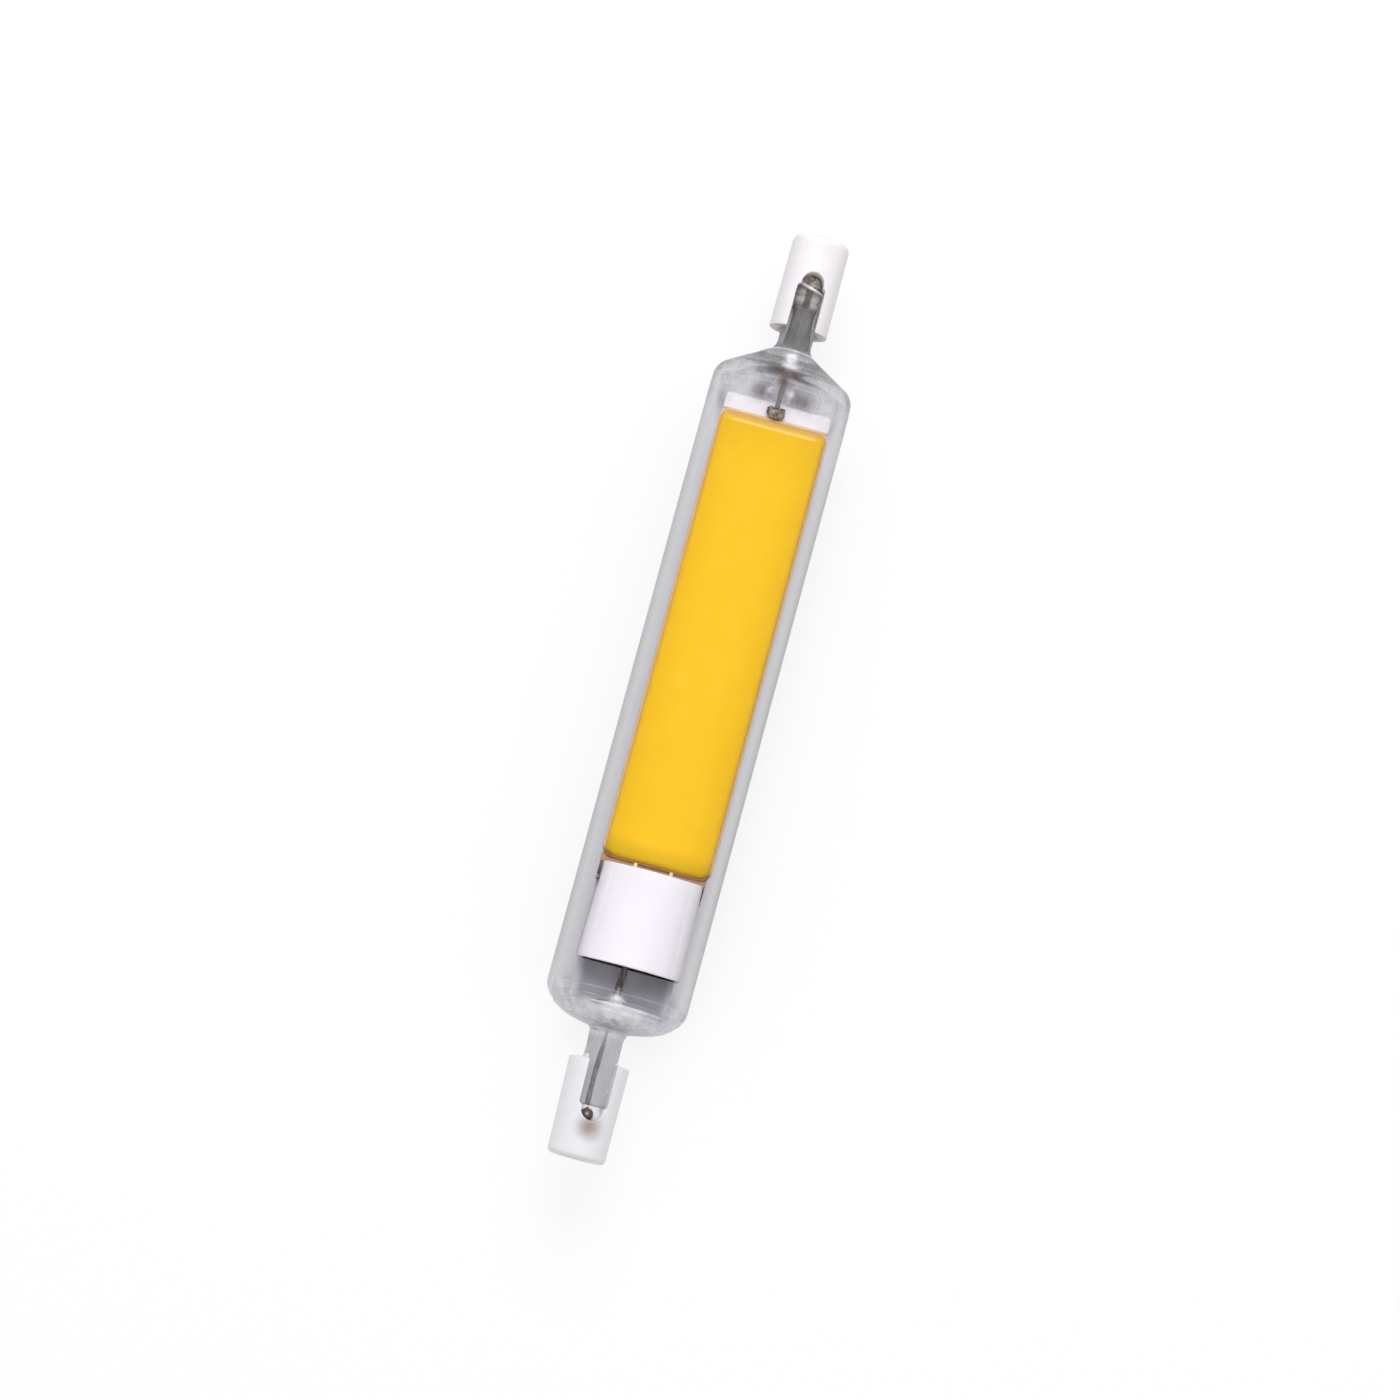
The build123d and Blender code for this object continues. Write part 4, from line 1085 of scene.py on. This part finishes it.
def makeFloorAndLights():
    # The floor and the sky are plain white to the view, and dimmer to the pieces.
    spec = studioSpec
    low = cadBox[0][2]
    size = spec["floorSize"]
    corners = [(-size, -size, low), (size, -size, low), (size, size, low), (-size, size, low)]
    mesh = bpy.data.meshes.new("floor")
    mesh.from_pydata(corners, [], [(0, 1, 2, 3)])
    floor = bpy.data.objects.new("floor", mesh)
    bpy.context.scene.collection.objects.link(floor)
    mat, tree, out = newMaterial("paleFloor")
    seen = plainView(tree)
    diffuse = tree.nodes.new("ShaderNodeBsdfDiffuse")
    colour = mixed(tree, seen, (spec["floorTone"],) * 3 + (1,), (spec["floorSeen"],) * 3 + (1,))
    tree.links.new(colour, diffuse.inputs["Color"])
    white = addNode(tree, "ShaderNodeEmission", Strength=1.0)
    share = sumOf(tree, "MULTIPLY", seen, 1 - spec["floorShare"])
    shown = overlaid(tree, share, diffuse, white)
    tree.links.new(shown.outputs[0], out.inputs["Surface"])
    mesh.materials.append(mat)
    world = bpy.data.worlds.new("studio")
    bpy.context.scene.world = world
    world.use_nodes = True
    tree = world.node_tree
    tree.nodes.clear()
    out = tree.nodes.new("ShaderNodeOutputWorld")
    coords = tree.nodes.new("ShaderNodeTexCoord")
    split = tree.nodes.new("ShaderNodeSeparateXYZ")
    tree.links.new(coords.outputs["Generated"], split.inputs[0])
    rise = spanned(tree, split.outputs[2], 0.0, 1.0, spec["horizon"], spec["zenith"])
    dome = addNode(tree, "ShaderNodeBackground", Color=(1, 1, 1, 1))
    tree.links.new(rise, dome.inputs["Strength"])
    plain = addNode(tree, "ShaderNodeBackground", Strength=1.0, Color=(1, 1, 1, 1))
    shown = overlaid(tree, plainView(tree), dome, plain)
    tree.links.new(shown.outputs[0], out.inputs["Surface"])
    light = bpy.data.lights.new("keyLight", "AREA")
    light.shape = "SQUARE"
    light.size = spec["lampSize"]
    light.energy = spec["lampPower"]
    lamp = bpy.data.objects.new("keyLight", light)
    bpy.context.scene.collection.objects.link(lamp)
    aim(lamp, spec["lampPlace"], -np.array(spec["lampPlace"]), (0, 1, 0))


def aim(thing, place, look, up):
    # Turns the object's -Z to look and its +Y as near to up as can be.
    back = -np.array(look, float)
    back /= np.linalg.norm(back)
    right = np.cross(np.array(up, float), back)
    right /= np.linalg.norm(right)
    true = np.cross(back, right)
    rows = [[right[k], true[k], back[k], place[k]] for k in range(3)]
    thing.matrix_world = mathutils.Matrix(rows + [[0, 0, 0, 1]])


cameraSpec = {
    "distance": 0.725,     # from the lamp's centre
    "tilt": 7.0,           # degrees that the view leans to the driver end
    "roll": 15.18,         # degrees that the lamp leans to the right in the view
    "lens": 151.3,
    "offRight": 0.000074,  # where the lamp's centre lies from the middle of the view
    "offUp": 0.00062,
}


def makeCamera():
    # Looks down on the lit face from a little towards the driver end, with the light end up in the view.
    c = cameraSpec
    t = math.radians(c["tilt"])
    f = math.radians(c["roll"])
    back = np.array([-math.sin(t), 0, math.cos(t)])
    along = np.array([math.cos(t), 0, math.sin(t)])
    across = np.array([0, -1.0, 0])
    right = math.cos(f) * across + math.sin(f) * along
    up = math.cos(f) * along - math.sin(f) * across
    place = back * c["distance"] + right * c["offRight"] - up * c["offUp"]
    data = bpy.data.cameras.new("view")
    data.lens = c["lens"]
    data.sensor_width = 36
    data.clip_start = 0.01
    cam = bpy.data.objects.new("view", data)
    bpy.context.scene.collection.objects.link(cam)
    aim(cam, place, -back, up)
    bpy.context.scene.camera = cam


makeFloorAndLights()
makeCamera()
print("stage: floor, lamp and camera")

dress(makeGlass(), clearGlass())
print("glass made")

mats = {name: speckled(name, spec) for name, spec in finishes.items()}
dress(makeSlab(), phosphorGel())
for end, piece in makeWires().items():
    dress(piece, mats["foil" if end == "light" else "wire"])
for name, piece in makeLumps().items():
    dress(piece, mats["solder" if name == "stripSolder" else "darkMetal"])
dress(makeCover(), mats["cover"])
dress(makeRim(), mats["resin"])
for end in ("light", "driver"):
    dress(makeCement(end), mats["paleCement" if end == "driver" else "cement"])
    dress(makeCap(end), mats["ceramic"])
print("slab, wires, welds, solder, cover and caps made")

wear = {
    "contact": ["contact_light_end", "contact_driver_end"],
    "plate": ["strip_plate"],
    "whiteCoat": ["strip_white_layer"],
    "chip": ["light_chips"],
    "solder": ["solder_driver_end", "strap_solder_dots"],
    "strap": ["link_strap_left", "link_strap_right"],
    "laminate": ["driver_board"],
    "package": ["bridge_rectifier", "current_chip", "sense_resistors"],
    "resistor": ["fusible_resistor"],
    "capacitor": ["block_capacitor"],
    "pin": ["jumper_pins"],
}
for look, names in wear.items():
    for node in names:
        dress(nodes[node], mats[look])
print("finishes on the CAD nodes")

bpy.context.scene.view_settings.view_transform = "Standard"
